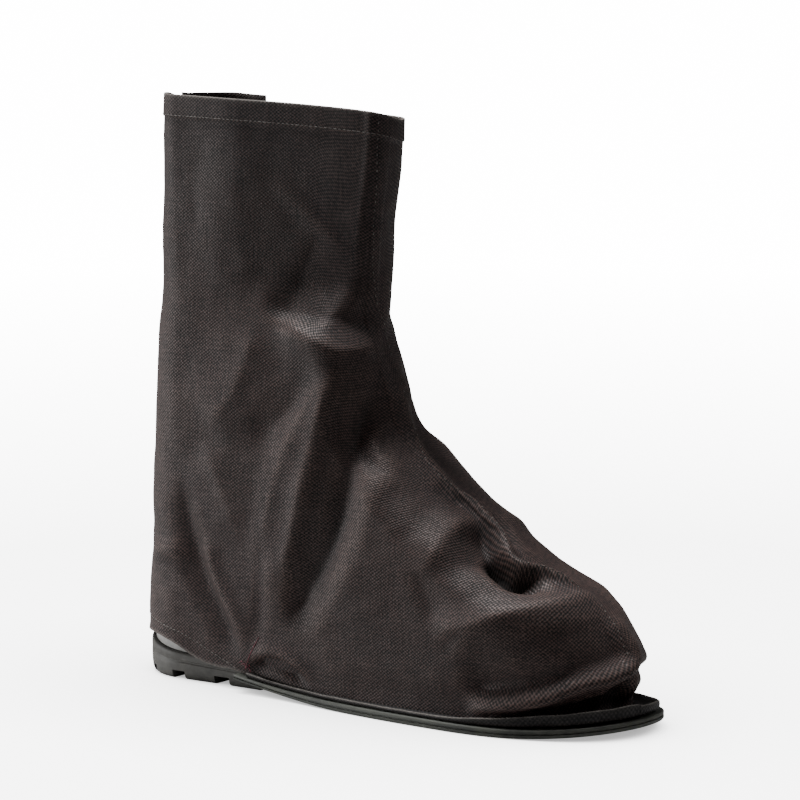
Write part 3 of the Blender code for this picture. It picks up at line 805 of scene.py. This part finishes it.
foot = np.full(len(columns), SOLE_THICKNESS)
for _ in range(4):
    foot = hem_line(wall_points(foot)[:, 0])
top = plans[np.searchsorted(heights, COLLAR_FRONT)]
forward = (top[:, 0] - top[:, 0].min()) / np.ptp(top[:, 0])
rim = COLLAR_BACK + (COLLAR_FRONT - COLLAR_BACK) * forward**2.5
rim = rim - COLLAR_INNER_DROP * ease(0.5 + top[:, 1] / 28.0)
hem = rim - HEM_DEPTH
levels = np.linspace(0.0, 1.0, 400)
crowding = np.cumsum(1.0 + CROWDING * np.exp(-(((levels - CROWDED_SHARE) / 0.10) ** 2)))
row_shares = np.interp(np.linspace(crowding[0], crowding[-1], WALL_ROWS), crowding, levels)
row_heights = [foot + (hem - foot) * share for share in row_shares]
row_heights += [hem + step for step in HEM_STEPS] + [rim - step for step in RIM_STEPS]
row_heights = np.array(row_heights)
plain = np.array([wall_points(h) for h in row_heights])
print("plain wall", plain.shape, "foot", foot.min().round(1), "rim", rim.max().round(1))

# %% [markdown]
# ## Creases
# Slack coated cloth doesn't ripple like a flag: it breaks into flat facets that meet in creases. Each crease
# here is a line laid on the wall, in the gaiter's own sizes, with how far it stands out or sinks in
# and how far its two flanks reach. Left and right are as one walks along the line and looks at the gaiter
# from outside.

# %% Crease table
Crease = namedtuple("Crease", "rise left right line")
OUTER_CREASES = (
    # Shaft: a soft ridge down its middle, and faint pulls
    Crease(1.8, 50, 40, ((70, -24, 340), (70, -26, 270), (73, -27, 238), (80, -28, 210))),
    Crease(1.0, 8, 8, ((89, -22, 276), (116, -18, 254), (138, -12, 233))),
    Crease(-1.2, 14, 14, ((40, -26, 290), (42, -27, 262), (48, -29, 235))),
    # Ankle: the shaft tucks in over a shelf
    Crease(-5.0, 46, 9, ((88, -28, 215), (99, -28, 208), (126, -26, 203), (143, -16, 202), (148, -3, 201),
                         (147, 8, 199))),
    Crease(5.6, 12, 18, ((98, -29, 203), (123, -30, 193), (138, -26, 187), (146, -14, 187), (148, 4, 187))),
    Crease(3.2, 24, 34, ((89, -29, 202), (77, -35, 162), (57, -38, 136))),
    Crease(2.6, 20, 26, ((57, -38, 136), (70, -40, 111), (85, -40, 80))),
    Crease(-2.6, 16, 16, ((136, -29, 178), (108, -36, 151), (84, -39, 128))),
    # The long trough from the front of the ankle down to the arch, with a ridge on either side
    Crease(-7.0, 20, 19, ((152, -6, 172), (154, -26, 144), (152, -39, 119), (144, -43, 87), (125, -42, 57),
                          (113, -42, 38))),
    Crease(3.2, 9, 18, ((139, -26, 184), (134, -35, 154), (126, -40, 114), (119, -42, 81), (111, -42, 38))),
    Crease(1.8, 11, 13, ((134, -31, 177), (113, -38, 133), (102, -41, 87), (102, -41, 47))),
    Crease(1.6, 50, 16, ((166, -10, 146), (168, -36, 120), (160, -43, 92), (142, -43, 55))),
    Crease(1.4, 5, 5, ((163, -6, 150), (159, -21, 143), (167, -23, 131))),
    Crease(-1.5, 5, 5, ((158, -26, 139), (165, -29, 129), (175, -24, 124))),
    # Vamp: a ridge along the front, and a dark pocket on its flank
    Crease(3.4, 8, 14, ((156, 2, 170), (164, 3, 143), (181, -2, 127), (200, -2, 112), (208, 6, 106))),
    Crease(-1.7, 6, 6, ((188, -12, 119), (197, -8, 113), (208, -7, 106))),
    Crease(3.6, 16, 18, ((211, 0, 106), (211, -27, 96), (208, -38, 85), (202, -42, 74))),
    Crease(-6.5, 5, 26, ((213, -5, 102), (224, -11, 93), (235, -17, 85), (243, -24, 78))),
    Crease(-1.6, 14, 8, ((201, -41, 80), (209, -43, 65), (216, -44, 52))),
    # Toe: a tuck in an S with the hollow under it, and the dented cap below
    Crease(5.6, 6, 5, ((194, -4, 117), (206, 0, 108), (220, -1, 99), (231, -5, 90), (239, -11, 84),
                       (246, -9, 80), (253, -2, 79), (263, 5, 75), (270, 16, 69))),
    Crease(-3.0, 5, 5, ((208, 12, 105), (220, 9, 98), (232, 3, 91), (243, 0, 85))),
    Crease(-13.0, 6, 11, ((231, -13, 90), (240, -17, 82), (248, -18, 77), (255, -13, 75), (258, -4, 75))),
    Crease(4.4, 14, 18, ((212, -44, 48), (237, -43, 55), (256, -37, 62), (269, -24, 64), (276, -8, 66),
                         (274, 16, 67))),
    Crease(-6.0, 30, 7, ((228, -44, 24), (250, -43, 24), (280, -33, 29), (298, -19, 34), (305, -2, 38),
                         (302, 14, 42))),
    Crease(7.2, 10, 6, ((232, -43, 10), (258, -40, 16), (277, -33, 22), (292, -24, 29), (302, -10, 32),
                        (306, 2, 35), (302, 16, 36))),
    Crease(-10.0, 7, 19, ((262, -39, 8), (287, -23, 11), (293, -14, 14), (299, -5, 20), (303, 4, 25),
                          (303, 15, 27))),
    Crease(-4.5, 5, 6, ((300, -8, 24), (304, 4, 28), (303, 18, 30), (294, 33, 27), (274, 45, 20))),
    Crease(2.0, 10, 10, ((287, 9, 61), (300, 9, 47), (305, 12, 34))),
    Crease(4.0, 4, 6, ((300, -12, 26), (298, -8, 16), (299, 2, 9))),
    Crease(4.0, 5, 5, ((304, 8, 27), (302, 12, 18), (300, 17, 9))),
    Crease(-1.3, 5, 6, ((237, -43, 56), (217, -45, 38))),
    # Heel: a diagonal pull to the wing, and the arched fold in front of it
    Crease(2.2, 10, 7, ((10, -25, 65), (37, -38, 71), (54, -39, 69))),
    Crease(-3.4, 10, 14, ((40, -39, 113), (47, -39, 86), (55, -39, 63), (72, -40, 35), (82, -39, 15))),
    Crease(2.6, 10, 6, ((56, -39, 86), (65, -39, 60), (80, -40, 36), (89, -40, 18))),
    Crease(3.6, 8, 4, ((86, -39, 15), (97, -40, 21), (110, -41, 23), (121, -41, 20), (136, -42, 11))),
    Crease(-5.5, 3.5, 6, ((86, -39, 11), (97, -40, 17), (110, -41, 19), (120, -41, 16), (134, -42, 8))),
    Crease(-1.2, 7, 7, ((102, -41, 95), (98, -41, 54), (93, -40, 22))),
)
INNER_CREASES = (
    Crease(2.6, 26, 26, ((84, 24, 250), (84, 27, 226), (88, 29, 205))),
    Crease(-3.6, 8, 30, ((98, 29, 212), (125, 28, 206), (146, 8, 199))),
    Crease(3.2, 16, 8, ((100, 30, 205), (122, 29, 194), (140, 23, 187))),
    Crease(-4.4, 16, 10, ((146, 16, 182), (152, 26, 150), (146, 38, 112), (134, 40, 84), (120, 39, 46))),
    Crease(2.4, 8, 30, ((160, 22, 144), (158, 33, 128), (152, 42, 96), (136, 42, 54))),
    Crease(2.2, 14, 12, ((132, 34, 160), (120, 39, 118), (110, 38, 70))),
    Crease(2.4, 10, 20, ((204, 44, 84), (212, 36, 93), (214, 14, 102))),
    Crease(-3.2, 11, 14, ((202, 44, 84), (228, 46, 72), (248, 42, 69))),
    Crease(2.4, 12, 12, ((214, 49, 60), (240, 48, 61), (258, 42, 62), (270, 28, 66))),
    Crease(-3.6, 6, 24, ((252, 48, 22), (274, 42, 28), (288, 34, 34), (298, 18, 40))),
    Crease(2.6, 8, 6, ((254, 48, 15), (278, 40, 20), (292, 30, 26))),
    Crease(-2.0, 8, 6, ((50, 39, 72), (66, 39, 52), (84, 38, 22))),
    Crease(-2.2, 5, 5, ((90, 37, 16), (104, 36, 20), (120, 38, 16), (134, 41, 9))),
)
print(len(OUTER_CREASES), "creases outside,", len(INNER_CREASES), "inside")

# %% Press the creases into the wall
CREASE_SOFT = 1.1
FLANK_CURVE = 1.5
LINE_STEP = 4.0
# A crease fades out at its ends, over a share of its length or at most so far
FADE_SHARE = 0.35
FADE_MOST = 20.0
# Unrest of the slack cloth: height, wave length and seed
UNREST = ((0.55, 46.0, 3), (0.16, 15.0, 4))


def soft_line(points):
    """Close points on a soft curve through a few given ones, and their distances along it."""
    points = np.array(points, float)
    knots = distances(points)
    stops = np.linspace(0.0, knots[-1], int(knots[-1] / LINE_STEP) + 2)
    return np.stack([smooth_curve(stops, knots, points[:, k]) for k in range(3)], 1), stops


def crease_lift(points, normals, crease):
    """How far one crease lifts or sinks each point."""
    line, along = soft_line(crease.line)
    reach = max(crease.left, crease.right)
    near = np.all((points > line.min(0) - reach) & (points < line.max(0) + reach), axis=-1)
    p, n = points[near], normals[near]
    best = np.full(len(p), np.inf)
    side = np.zeros(len(p))
    place = np.zeros(len(p))
    for a, b, start in zip(line, line[1:], along):
        run = b - a
        share = np.clip((p - a) @ run / (run @ run), 0.0, 1.0)
        away = p - a - share[:, None] * run
        gap = np.linalg.norm(away, axis=1)
        closer = gap < best
        best[closer] = gap[closer]
        side[closer] = np.einsum("ij,ij->i", np.cross(run, away), n)[closer]
        place[closer] = (start + share * np.linalg.norm(run))[closer]
    flank = np.where(side > 0, crease.left, crease.right)
    off_line = np.sqrt(best**2 + CREASE_SOFT**2) - CREASE_SOFT
    taper = min(FADE_SHARE * along[-1], FADE_MOST)
    ends = ease(place / taper) * ease((along[-1] - place) / taper)
    lift = np.zeros(points.shape[:-1])
    lift[near] = crease.rise * np.clip(1.0 - off_line / flank, 0.0, 1.0) ** FLANK_CURVE * ends
    return lift


def ripple(points, wave, seed):
    """Soft even unrest of the cloth: many small waves in seeded directions, between about -1 and 1."""
    rng = np.random.default_rng(seed)
    total = np.zeros(points.shape[:-1])
    for _ in range(18):
        way = rng.normal(size=3)
        way *= rng.uniform(0.7, 1.4) * 2 * math.pi / wave / np.linalg.norm(way)
        total += np.sin(points @ way + rng.uniform(0, 2 * math.pi))
    return total / 6.0


plain_normals = grid_normals(plain)
lift = sum(crease_lift(plain, plain_normals, crease) for crease in OUTER_CREASES + INNER_CREASES)
lift += sum(height * ripple(plain, wave, seed) for height, wave, seed in UNREST)
# The folds die out at the foot, and the hem holds the collar straighter
lift *= ease((row_heights - foot) / 5.0) * (0.65 + 0.35 * ease((rim - row_heights) / 30.0))
# The cloth's stiffness rounds every crease a little: each point goes halfway to the mean of its neighbours
lift = lift / 2 + (np.roll(lift, 1, 1) + np.roll(lift, -1, 1)) / 4
lift[1:-1] = lift[1:-1] / 2 + (lift[2:] + lift[:-2]) / 4
creased = plain + plain_normals * lift[:, :, None]
normals = grid_normals(creased)
print("folds from", lift.min().round(1), "to", lift.max().round(1), "mm")

# %% [markdown]
# ## Upper
# The wall gets a second face inside, so the collar shows real cloth when one looks in. The collar's hem and
# the lap of the front seam are a second layer of cloth: they stand a little proud, with a clear step at their
# edge. How strongly each point bulges says where the cloth is rubbed, and how deep it lies says where painted
# shade darkens it. The rim is marked as a pale edge: partly fray, partly a painted highlight.

# %% Upper
WALL = 1.2
LAYER = 0.7
SEAM_LAYER = 0.3
SEAM_COLUMNS = 6
# Round the heel, as far as this, the lower edge is turned up and stands a little proud
HEEL_CLOTH_FRONT = 80.0
HEEL_ROLL = 0.5
HEEL_ROLL_HEIGHT = 2.2
RIM_ROUND = 0.28
INNER_ROW_STEP = 4

extra = np.zeros(lift.shape)
extra[:, FRONT - SEAM_COLUMNS : FRONT + 1] = SEAM_LAYER
extra[-HEM_ROWS:] = LAYER
heel_roll = np.exp(-(((creased[:, :, 2] - foot) / HEEL_ROLL_HEIGHT) ** 2))
heel_roll = heel_roll * (creased[:, :, 0] < HEEL_CLOTH_FRONT)
outside = creased + normals * (extra + HEEL_ROLL * heel_roll)[:, :, None]
outside[0, :, 2] = hem_line(outside[0, :, 0])
inside = (creased - normals * WALL)[::-1]
keep = np.r_[0, np.arange(2, len(inside) - 1, INNER_ROW_STEP), len(inside) - 1]
inside = inside[keep]
inside[-1, :, 2] = hem_line(inside[-1, :, 0])
beads = [outside[-1] * (1 - share) + inside[0] * share for share in (RIM_ROUND, 1 - RIM_ROUND)]
for bead in beads:
    bead[:, 2] = rim
loops = np.concatenate([outside, beads, inside])
upper = skin("upper_cloth", loops, coated_polyester, ring=True, sharp=70.0)
print("upper", len(upper.data.vertices), "points")

# %% Lay the weave on the upper
# Each half was cut flat: its threads run level and upright, measured over the folds from a line above the arch
CUT_LINE = 80.0
# What the folds take up is evened out over some rows, so that the threads stay nearly upright
EVEN_ROWS = 12
# How much of a slope's extra length the threads follow: all of it would tilt them on the shaft
SLOPE_SHARE = 0.3

across = np.zeros(lift.shape)
gathered = np.zeros(lift.shape)
for row, ring in enumerate(plain):
    for part in (slice(0, FRONT + 1), slice(len(columns) - 1, FRONT, -1)):
        steps = distances(ring[part])
        folded = distances(creased[row, part]) - steps
        across[row, part] = steps - np.interp(CUT_LINE, ring[part, 0], steps)
        gathered[row, part] = folded - np.interp(CUT_LINE, ring[part, 0], folded)
row_numbers = np.arange(len(plain))
nearby = [gathered[np.clip(row_numbers + k, 0, len(plain) - 1)] for k in range(-EVEN_ROWS, EVEN_ROWS + 1)]
across += sum(nearby) / len(nearby)
flatness = np.sqrt(1.0 - np.clip(plain_normals[:, :, 2], -0.85, 0.85) ** 2)
climb = np.diff(row_heights, axis=0) * (1 + SLOPE_SHARE * (2 / (flatness[1:] + flatness[:-1]) - 1))
upward = foot + np.concatenate([np.zeros((1, len(columns))), np.cumsum(climb, axis=0)])
across = np.concatenate([across, across[-1:], across[-1:], across[::-1][keep]])
upward = np.concatenate([upward, upward[-1:] + 0.5, upward[-1:] + 1.0, upward[::-1][keep]])
lay_weave(upper, across, upward)

# %% Mark the upper's wear, painted shade and pale edges
RUB_BULGE = 0.12
RUB_MOST = 0.7
# Paler edges: at the rim partly fray, partly a painted highlight; at the foot of the upper a paler frayed edge
RIM_PALE_EDGE = 1.4
FOOT_PALE_EDGE = 1.2
FOOT_PALE_EDGE_MOST = 0.7
# Painted shade: the bottom of a fold is painted darker from this depth on, over this much more
DARK_DEPTH = 4.0
DARK_RANGE = 6.0
DARK_MOST = 0.8

around = (np.roll(outside, 1, 1) + np.roll(outside, -1, 1)) / 2 - outside
upright = np.zeros_like(outside)
upright[1:-1] = (outside[2:] + outside[:-2]) / 2 - outside[1:-1]
bulge = -np.einsum("ijk,ijk->ij", around + upright, normals)
along = np.concatenate([row_heights, [rim, rim], row_heights[::-1][keep]])
shown = slice(0, len(outside))
fold_wear, fold_painted_shade = np.zeros((2, *along.shape))
fold_wear[shown] = np.clip(bulge / RUB_BULGE, 0.0, 1.0) * RUB_MOST
# Painted shade: where the cloth sinks deep into a fold, it is marked to be painted darker
fold_painted_shade[shown] = DARK_MOST * ease((-lift - DARK_DEPTH) / DARK_RANGE)
# Pale edges: partly fray, and at the rim partly a painted highlight
pale_edge = np.clip(1.0 - np.abs(along - rim) / RIM_PALE_EDGE, 0.0, 1.0)
foot_edge = FOOT_PALE_EDGE_MOST * np.clip(1 - (row_heights - foot) / FOOT_PALE_EDGE, 0, 1)
pale_edge[shown] = np.maximum(pale_edge[shown], foot_edge)
give_mark(upper, "fold_wear", fold_wear)
give_mark(upper, "fold_painted_shade", fold_painted_shade)
give_mark(upper, "pale_edge", pale_edge)
dress(upper, "upper")

# %% [markdown]
# ## Welt
# Round the forefoot the upper's cloth is turned out into a strip that is bonded to the sole. Along the sides
# it lies flat. Round the toe it stands up as a low wall with a free edge, and a dark gap shows under it. It is
# one bar swept along the foot of the upper, with its free edge puckered by a few seeded waves.

# %% Welt
WELT_REAR = 88.0
WELT_THICKNESS = 2.2
WELT_INSET = 2.0
WELT_STAND = 4.6
WELT_TOE_START = 215.0
WELT_TOE_LENGTH = 75.0
WELT_TOE_LIFT = 1.2
PUCKER = 0.35
PUCKER_WAVE = 17.0
UP = np.array([0.0, 0.0, 1.0])

edge_line = sole_outline(0.0, 900)
welt_loops = []
for c in columns[outside[0, :, 0] >= WELT_REAR]:
    start = outside[0, c]
    out = normals[2, c] * (1.0, 1.0, 0.0)
    out /= np.linalg.norm(out)
    width = np.linalg.norm(edge_line - start[:2], axis=1).min() - WELT_INSET
    toe = ease((start[0] - WELT_TOE_START) / WELT_TOE_LENGTH)
    near = start + out * GAP
    far = start + out * width
    near[2] = sole_top(near[0]) + GAP
    far[2] = sole_top(far[0]) + GAP + WELT_TOE_LIFT * toe
    pucker = PUCKER * ripple(far, PUCKER_WAVE, 8)
    tall = UP * WELT_THICKNESS * (1 - 0.25 * toe)
    # The strip stands up less on the inner side of the toe
    stand = toe * (1.0 - 0.75 * ease((start[1] + 5.0) / 30.0))
    lip = UP * (WELT_STAND * stand + pucker * (0.3 + toe))
    middle = near * 0.45 + far * 0.55
    top = far + tall + lip
    welt_loops.append([
        near,
        middle,
        far - out * 0.9,
        far + tall * 0.25,
        far + tall * 0.6 + lip * 0.5 + out * 0.2,
        top - UP * 0.7 + out * 0.1,
        top + out * 0.05,
        top + UP * 0.12 - out * 0.35,
        top - UP * 0.5 - out * 0.8,
        far + tall * 0.95 + lip * 0.35 - out * 1.3,
        middle + tall * (1 - 0.3 * toe),
        near + tall,
    ])
# How pale each of these lines is, from the foot of the upper round the free edge and back; the pale free edge
# is partly fray, partly a painted highlight
WELT_PALE_EDGE = (0, 0, 0, 0, 0, 0.1, 0.9, 0.9, 0.2, 0, 0, 0)
WELT_CLOTH_WIDTH = 16.0
welt = skin("welt_strip", welt_loops, shaded_welt_cloth, sharp=75.0)
run = distances(np.array(welt_loops)[:, 2])
turned = np.linspace(0, WELT_CLOTH_WIDTH, len(WELT_PALE_EDGE))
lay_weave(welt, np.repeat(run[:, None], len(turned), 1), np.tile(turned, (len(run), 1)))
give_mark(welt, "pale_edge", np.tile(WELT_PALE_EDGE, (len(run), 1)))
dress(welt, "welt")

# %% [markdown]
# ## Closure
# At the back of the inner side the upper is slit, and a flap laps over the slit, a little higher than the rim.
# It is held by a strip of hook-and-loop tape that is sewn to the wall beneath it. Both follow the wall: each
# is a patch of the wall's own columns, moved out along its normals.

# %% Closure flap and tape
FLAP_FOOT = 0.23
FLAP_WALL = 1.4
TAPE_WALL = 2.4
# The flap goes on above the rim by these steps, and its free edge waves
FLAP_RISE = np.array([1.75, 3.5])
FLAP_WAVE = 1.6
FLAP_WAVE_LENGTH = 62.0
# The part of the flap's patch that the tape covers
TAPE_PATCH = slice(14, 148), slice(11, 21)

flap_last = len(columns) - 4
flap_slice = slice(flap_last - FLAP_COLUMNS, flap_last)
first_row = int(np.searchsorted(row_shares, FLAP_FOOT))
base, out = creased[first_row:, flap_slice], normals[first_row:, flap_slice]
share = np.linspace(0.0, 1.0, FLAP_COLUMNS)
stand = LAYER + GAP + (TAPE_WALL + GAP - LAYER) * ease(share / 0.36)
wave = FLAP_WAVE * (1 + np.sin(base[..., 2] * 2 * math.pi / FLAP_WAVE_LENGTH)) * ease((share - 0.7) / 0.3)
stand = (stand + wave)[:, :, None]
sheets = []
for off in (stand + FLAP_WALL, stand):
    sheet = base + out * off
    sheets.append(np.concatenate([sheet, *(sheet[-1:] + (0.0, 0.0, step) for step in FLAP_RISE)]))
flap_loops = np.concatenate([sheets[0], sheets[1][:, ::-1]], axis=1)
flap = skin("closure_flap_cloth", flap_loops, coated_polyester, sharp=70.0)
both_faces = np.concatenate([share, share[::-1]])
flap_across = both_faces * (FLAP_FRONT_EDGE - FLAP_FREE_EDGE)
flap_along = np.concatenate([row_heights[first_row:, flap_last - 1], rim[flap_last - 1] + FLAP_RISE])
lay_weave(flap, np.tile(flap_across, (len(flap_along), 1)), np.repeat(flap_along[:, None], len(both_faces), 1))
raw = np.tile(np.clip(1 - np.abs(both_faces - 1.0) / 0.03, 0, 1), (len(flap_along), 1))
raw[-1:] = 1.0
give_mark(flap, "pale_edge", raw)
dress(flap, "closure_flap")

base, out = base[TAPE_PATCH], out[TAPE_PATCH]
tape_loops = np.concatenate([base + out * (GAP + TAPE_WALL), (base + out * GAP)[:, ::-1]], axis=1)
tape = skin("closure_tape_strip", tape_loops, tape_pile)
dress(tape, "closure_tape")

# %% [markdown]
# ## Stitches
# A row of stitches repeats one small shape along a path, which is what Geometry Nodes are for. The tree takes
# a chain of edges laid on the cloth, walks along it in steps of the stitch length, and sets a short thread at
# each step, turned along the path. Hems are sewn in pale grey, so their rows show as fine broken lines.

# %% Stitch tree
# Each stitch is so much longer or thicker than it should be, between these two
STITCH_LEAST = (0.6, 0.75, 0.75)
STITCH_MOST = (1.1, 1.2, 1.2)


def stitch_tree(thread):
    """Node tree that sews a chain of edges with one thread."""
    tree = bpy.data.node_groups.new("stitches_in_" + thread.name, "GeometryNodeTree")
    given_sockets = {"Path": "Geometry", "Pitch": "Float", "Stitch Length": "Float", "Thread": "Float",
                     "Seed": "Int"}
    for label, kind in given_sockets.items():
        tree.interface.new_socket(label, in_out="INPUT", socket_type="NodeSocket" + kind)
    tree.interface.new_socket("Stitches", in_out="OUTPUT", socket_type="NodeSocketGeometry")
    given = add_node(tree, "NodeGroupInput").outputs
    path = add_node(tree, "GeometryNodeMeshToCurve", (), {0: given["Path"]})
    steps = add_node(tree, "GeometryNodeResampleCurve", {"mode": "LENGTH"},
                     {"Curve": path.outputs[0], "Length": given["Pitch"]})
    ahead = add_node(tree, "GeometryNodeInputTangent")
    turn = add_node(tree, "FunctionNodeAlignRotationToVector", {"axis": "X"}, {"Vector": ahead.outputs[0]})
    size = add_node(tree, "ShaderNodeCombineXYZ", (),
                    {0: given["Stitch Length"], 1: given["Thread"], 2: given["Thread"]})
    uneven = add_node(tree, "FunctionNodeRandomValue",
                      {"data_type": "FLOAT_VECTOR", 0: STITCH_LEAST, 1: STITCH_MOST}, {"Seed": given["Seed"]})
    sized = add_node(tree, "ShaderNodeVectorMath", {"operation": "MULTIPLY"},
                     {0: size.outputs[0], 1: uneven.outputs[0]})
    bead = add_node(tree, "GeometryNodeMeshIcoSphere", {"Radius": 0.5, "Subdivisions": 2})
    sewn = add_node(tree, "GeometryNodeInstanceOnPoints", (), {
        "Points": steps.outputs[0], "Instance": bead.outputs[0], "Rotation": turn.outputs[0],
        "Scale": sized.outputs[0],
    })
    real = add_node(tree, "GeometryNodeRealizeInstances", (), {0: sewn.outputs[0]})
    smooth = add_node(tree, "GeometryNodeSetShadeSmooth", (), {0: real.outputs[0]})
    dyed = add_node(tree, "GeometryNodeSetMaterial", {"Material": thread}, {0: smooth.outputs[0]})
    add_node(tree, "NodeGroupOutput", (), {0: dyed.outputs[0]})
    return tree


def sew(name, paths, thread, pitch, length, thick, seed=1):
    """Stitches along paths of points in millimetres, as one plain piece on the cloth."""
    points, edges = [], []
    for path in paths:
        start = len(points)
        points += [tuple((p + SHIFT) * MM) for p in path]
        edges += [(start + i, start + i + 1) for i in range(len(path) - 1)]
    mesh = bpy.data.meshes.new(name)
    mesh.from_pydata(points, edges, [])
    row = add_object(name, mesh)
    tree = stitch_tree(thread)
    step = row.modifiers.new("stitches", "NODES")
    step.node_group = tree
    values = {"Pitch": pitch * MM, "Stitch Length": length * MM, "Thread": thick * MM, "Seed": seed}
    for socket in tree.interface.items_tree:
        if socket.in_out == "INPUT" and socket.name in values:
            step[socket.identifier] = values[socket.name]
    make_plain(row)
    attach(row, "root")
    print(name, len(row.data.polygons), "faces")


# %% Sewn hems
HEM_STITCH_DROP = 11.2
THREAD_STAND = 0.12
# Places along the heel and the height of its sewn line there
HEEL_LINE = np.array([(-2.5, 33.5), (19, 31.5), (41, 27.0), (59, 20.5), (81, 12.2)])
# Rows of the wall near its foot, by which columns are picked
LOW_ROW = 2
HEEL_ROW = 6


def on_wall(at, chosen, stand=THREAD_STAND):
    """Points on the outside of the wall at one height a column, standing a little off it."""
    found = []
    for c, height in zip(chosen, at):
        place = [np.interp(height, row_heights[:, c], outside[:, c, k]) for k in range(3)]
        push = [np.interp(height, row_heights[:, c], normals[:, c, k]) for k in range(3)]
        found.append(np.array(place) + np.array(push) * stand)
    return found


hem_columns = columns[: flap_slice.start]
hem_path = on_wall(rim[hem_columns] - HEM_STITCH_DROP, hem_columns, 0.1)
sew("collar_hem_stitches", [hem_path], pale_thread, 2.8, 2.5, 0.34)

# %% Sewn seam
# The front seam wanders: straight down the shaft, along the vamp, round the S of the tuck and over the toe
SEAM_LINE = (
    (153, -9, 310), (150, -7, 273), (148, -6, 241), (147, -2, 215), (147, 6, 194), (158, 6, 159),
    (166, 4, 141), (180, -5, 127), (194, -4, 117), (206, 0, 108), (220, -1, 99), (231, -5, 90), (239, -11, 84),
    (246, -9, 80), (253, -2, 79), (263, 4, 75), (273, 6, 68), (289, 4, 58), (299, 3, 48), (305, 3, 37),
)
near_front = slice(FRONT - 60, FRONT + 45)
flat_plain = plain[:, near_front].reshape(-1, 3)
flat_outside = (outside + normals * THREAD_STAND)[:, near_front].reshape(-1, 3)
seam_points = [np.linalg.norm(flat_plain - p, axis=1).argmin() for p in soft_line(SEAM_LINE)[0]]
seam_path = flat_outside[seam_points]
seam_path[1:-1] = seam_path[1:-1] / 2 + (seam_path[2:] + seam_path[:-2]) / 4
sew("front_seam_stitches", [seam_path], pale_thread, 4.2, 1.5, 0.55, seed=2)

# %% Sewn heel and flap
heel_paths = []
for side in (columns[:FRONT], columns[FRONT:]):
    chosen = side[plain[LOW_ROW, side, 0] < HEEL_CLOTH_FRONT]
    heel_paths.append(on_wall(np.interp(plain[HEEL_ROW, chosen, 0], *HEEL_LINE.T), chosen))
sew("heel_hem_stitches", heel_paths, pale_thread, 2.8, 2.3, 0.38, seed=3)

flap_edge = sheets[0][:, -4] + normals[-1, flap_last - 3] * 0.1
sew("flap_stitches", [flap_edge[4:-2]], pale_thread, 3.2, 2.0, 0.45, seed=4)

# %% Red tack
TACK_ROW = 12
TACK_POINTS = 5
LOOSE_FIBRES = 16
tack_places = np.linspace(96, 89.5, TACK_POINTS)
tack_columns = [int(np.argmin(np.abs(plain[TACK_ROW, :FRONT, 0] - x))) for x in tack_places]
tack = on_wall(np.linspace(31, 13.5, TACK_POINTS), tack_columns, 0.25)
# Its lower end is frayed into short loose fibres
rng = np.random.default_rng(6)
loose = []
for _ in range(LOOSE_FIBRES):
    root = tack[-1] + rng.normal(size=3) * (1.7, 0.15, 1.8) + (0.6, 0.0, 2.4)
    loose.append([root, root + rng.normal(size=3) * (1.3, 0.3, 1.3)])
sew("red_tack", [tack, *loose], red_thread, 1.3, 1.9, 0.42, seed=5)

# %% [markdown]
# ## Size
# The box round all that is drawn, the floor left out, is printed in millimetres. Cloth may stand a little
# proud of the plain solids, but no more than that.

# %% Sizes
low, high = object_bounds()
print("visual box in mm", [round(v / MM, 1) for v in high - low])
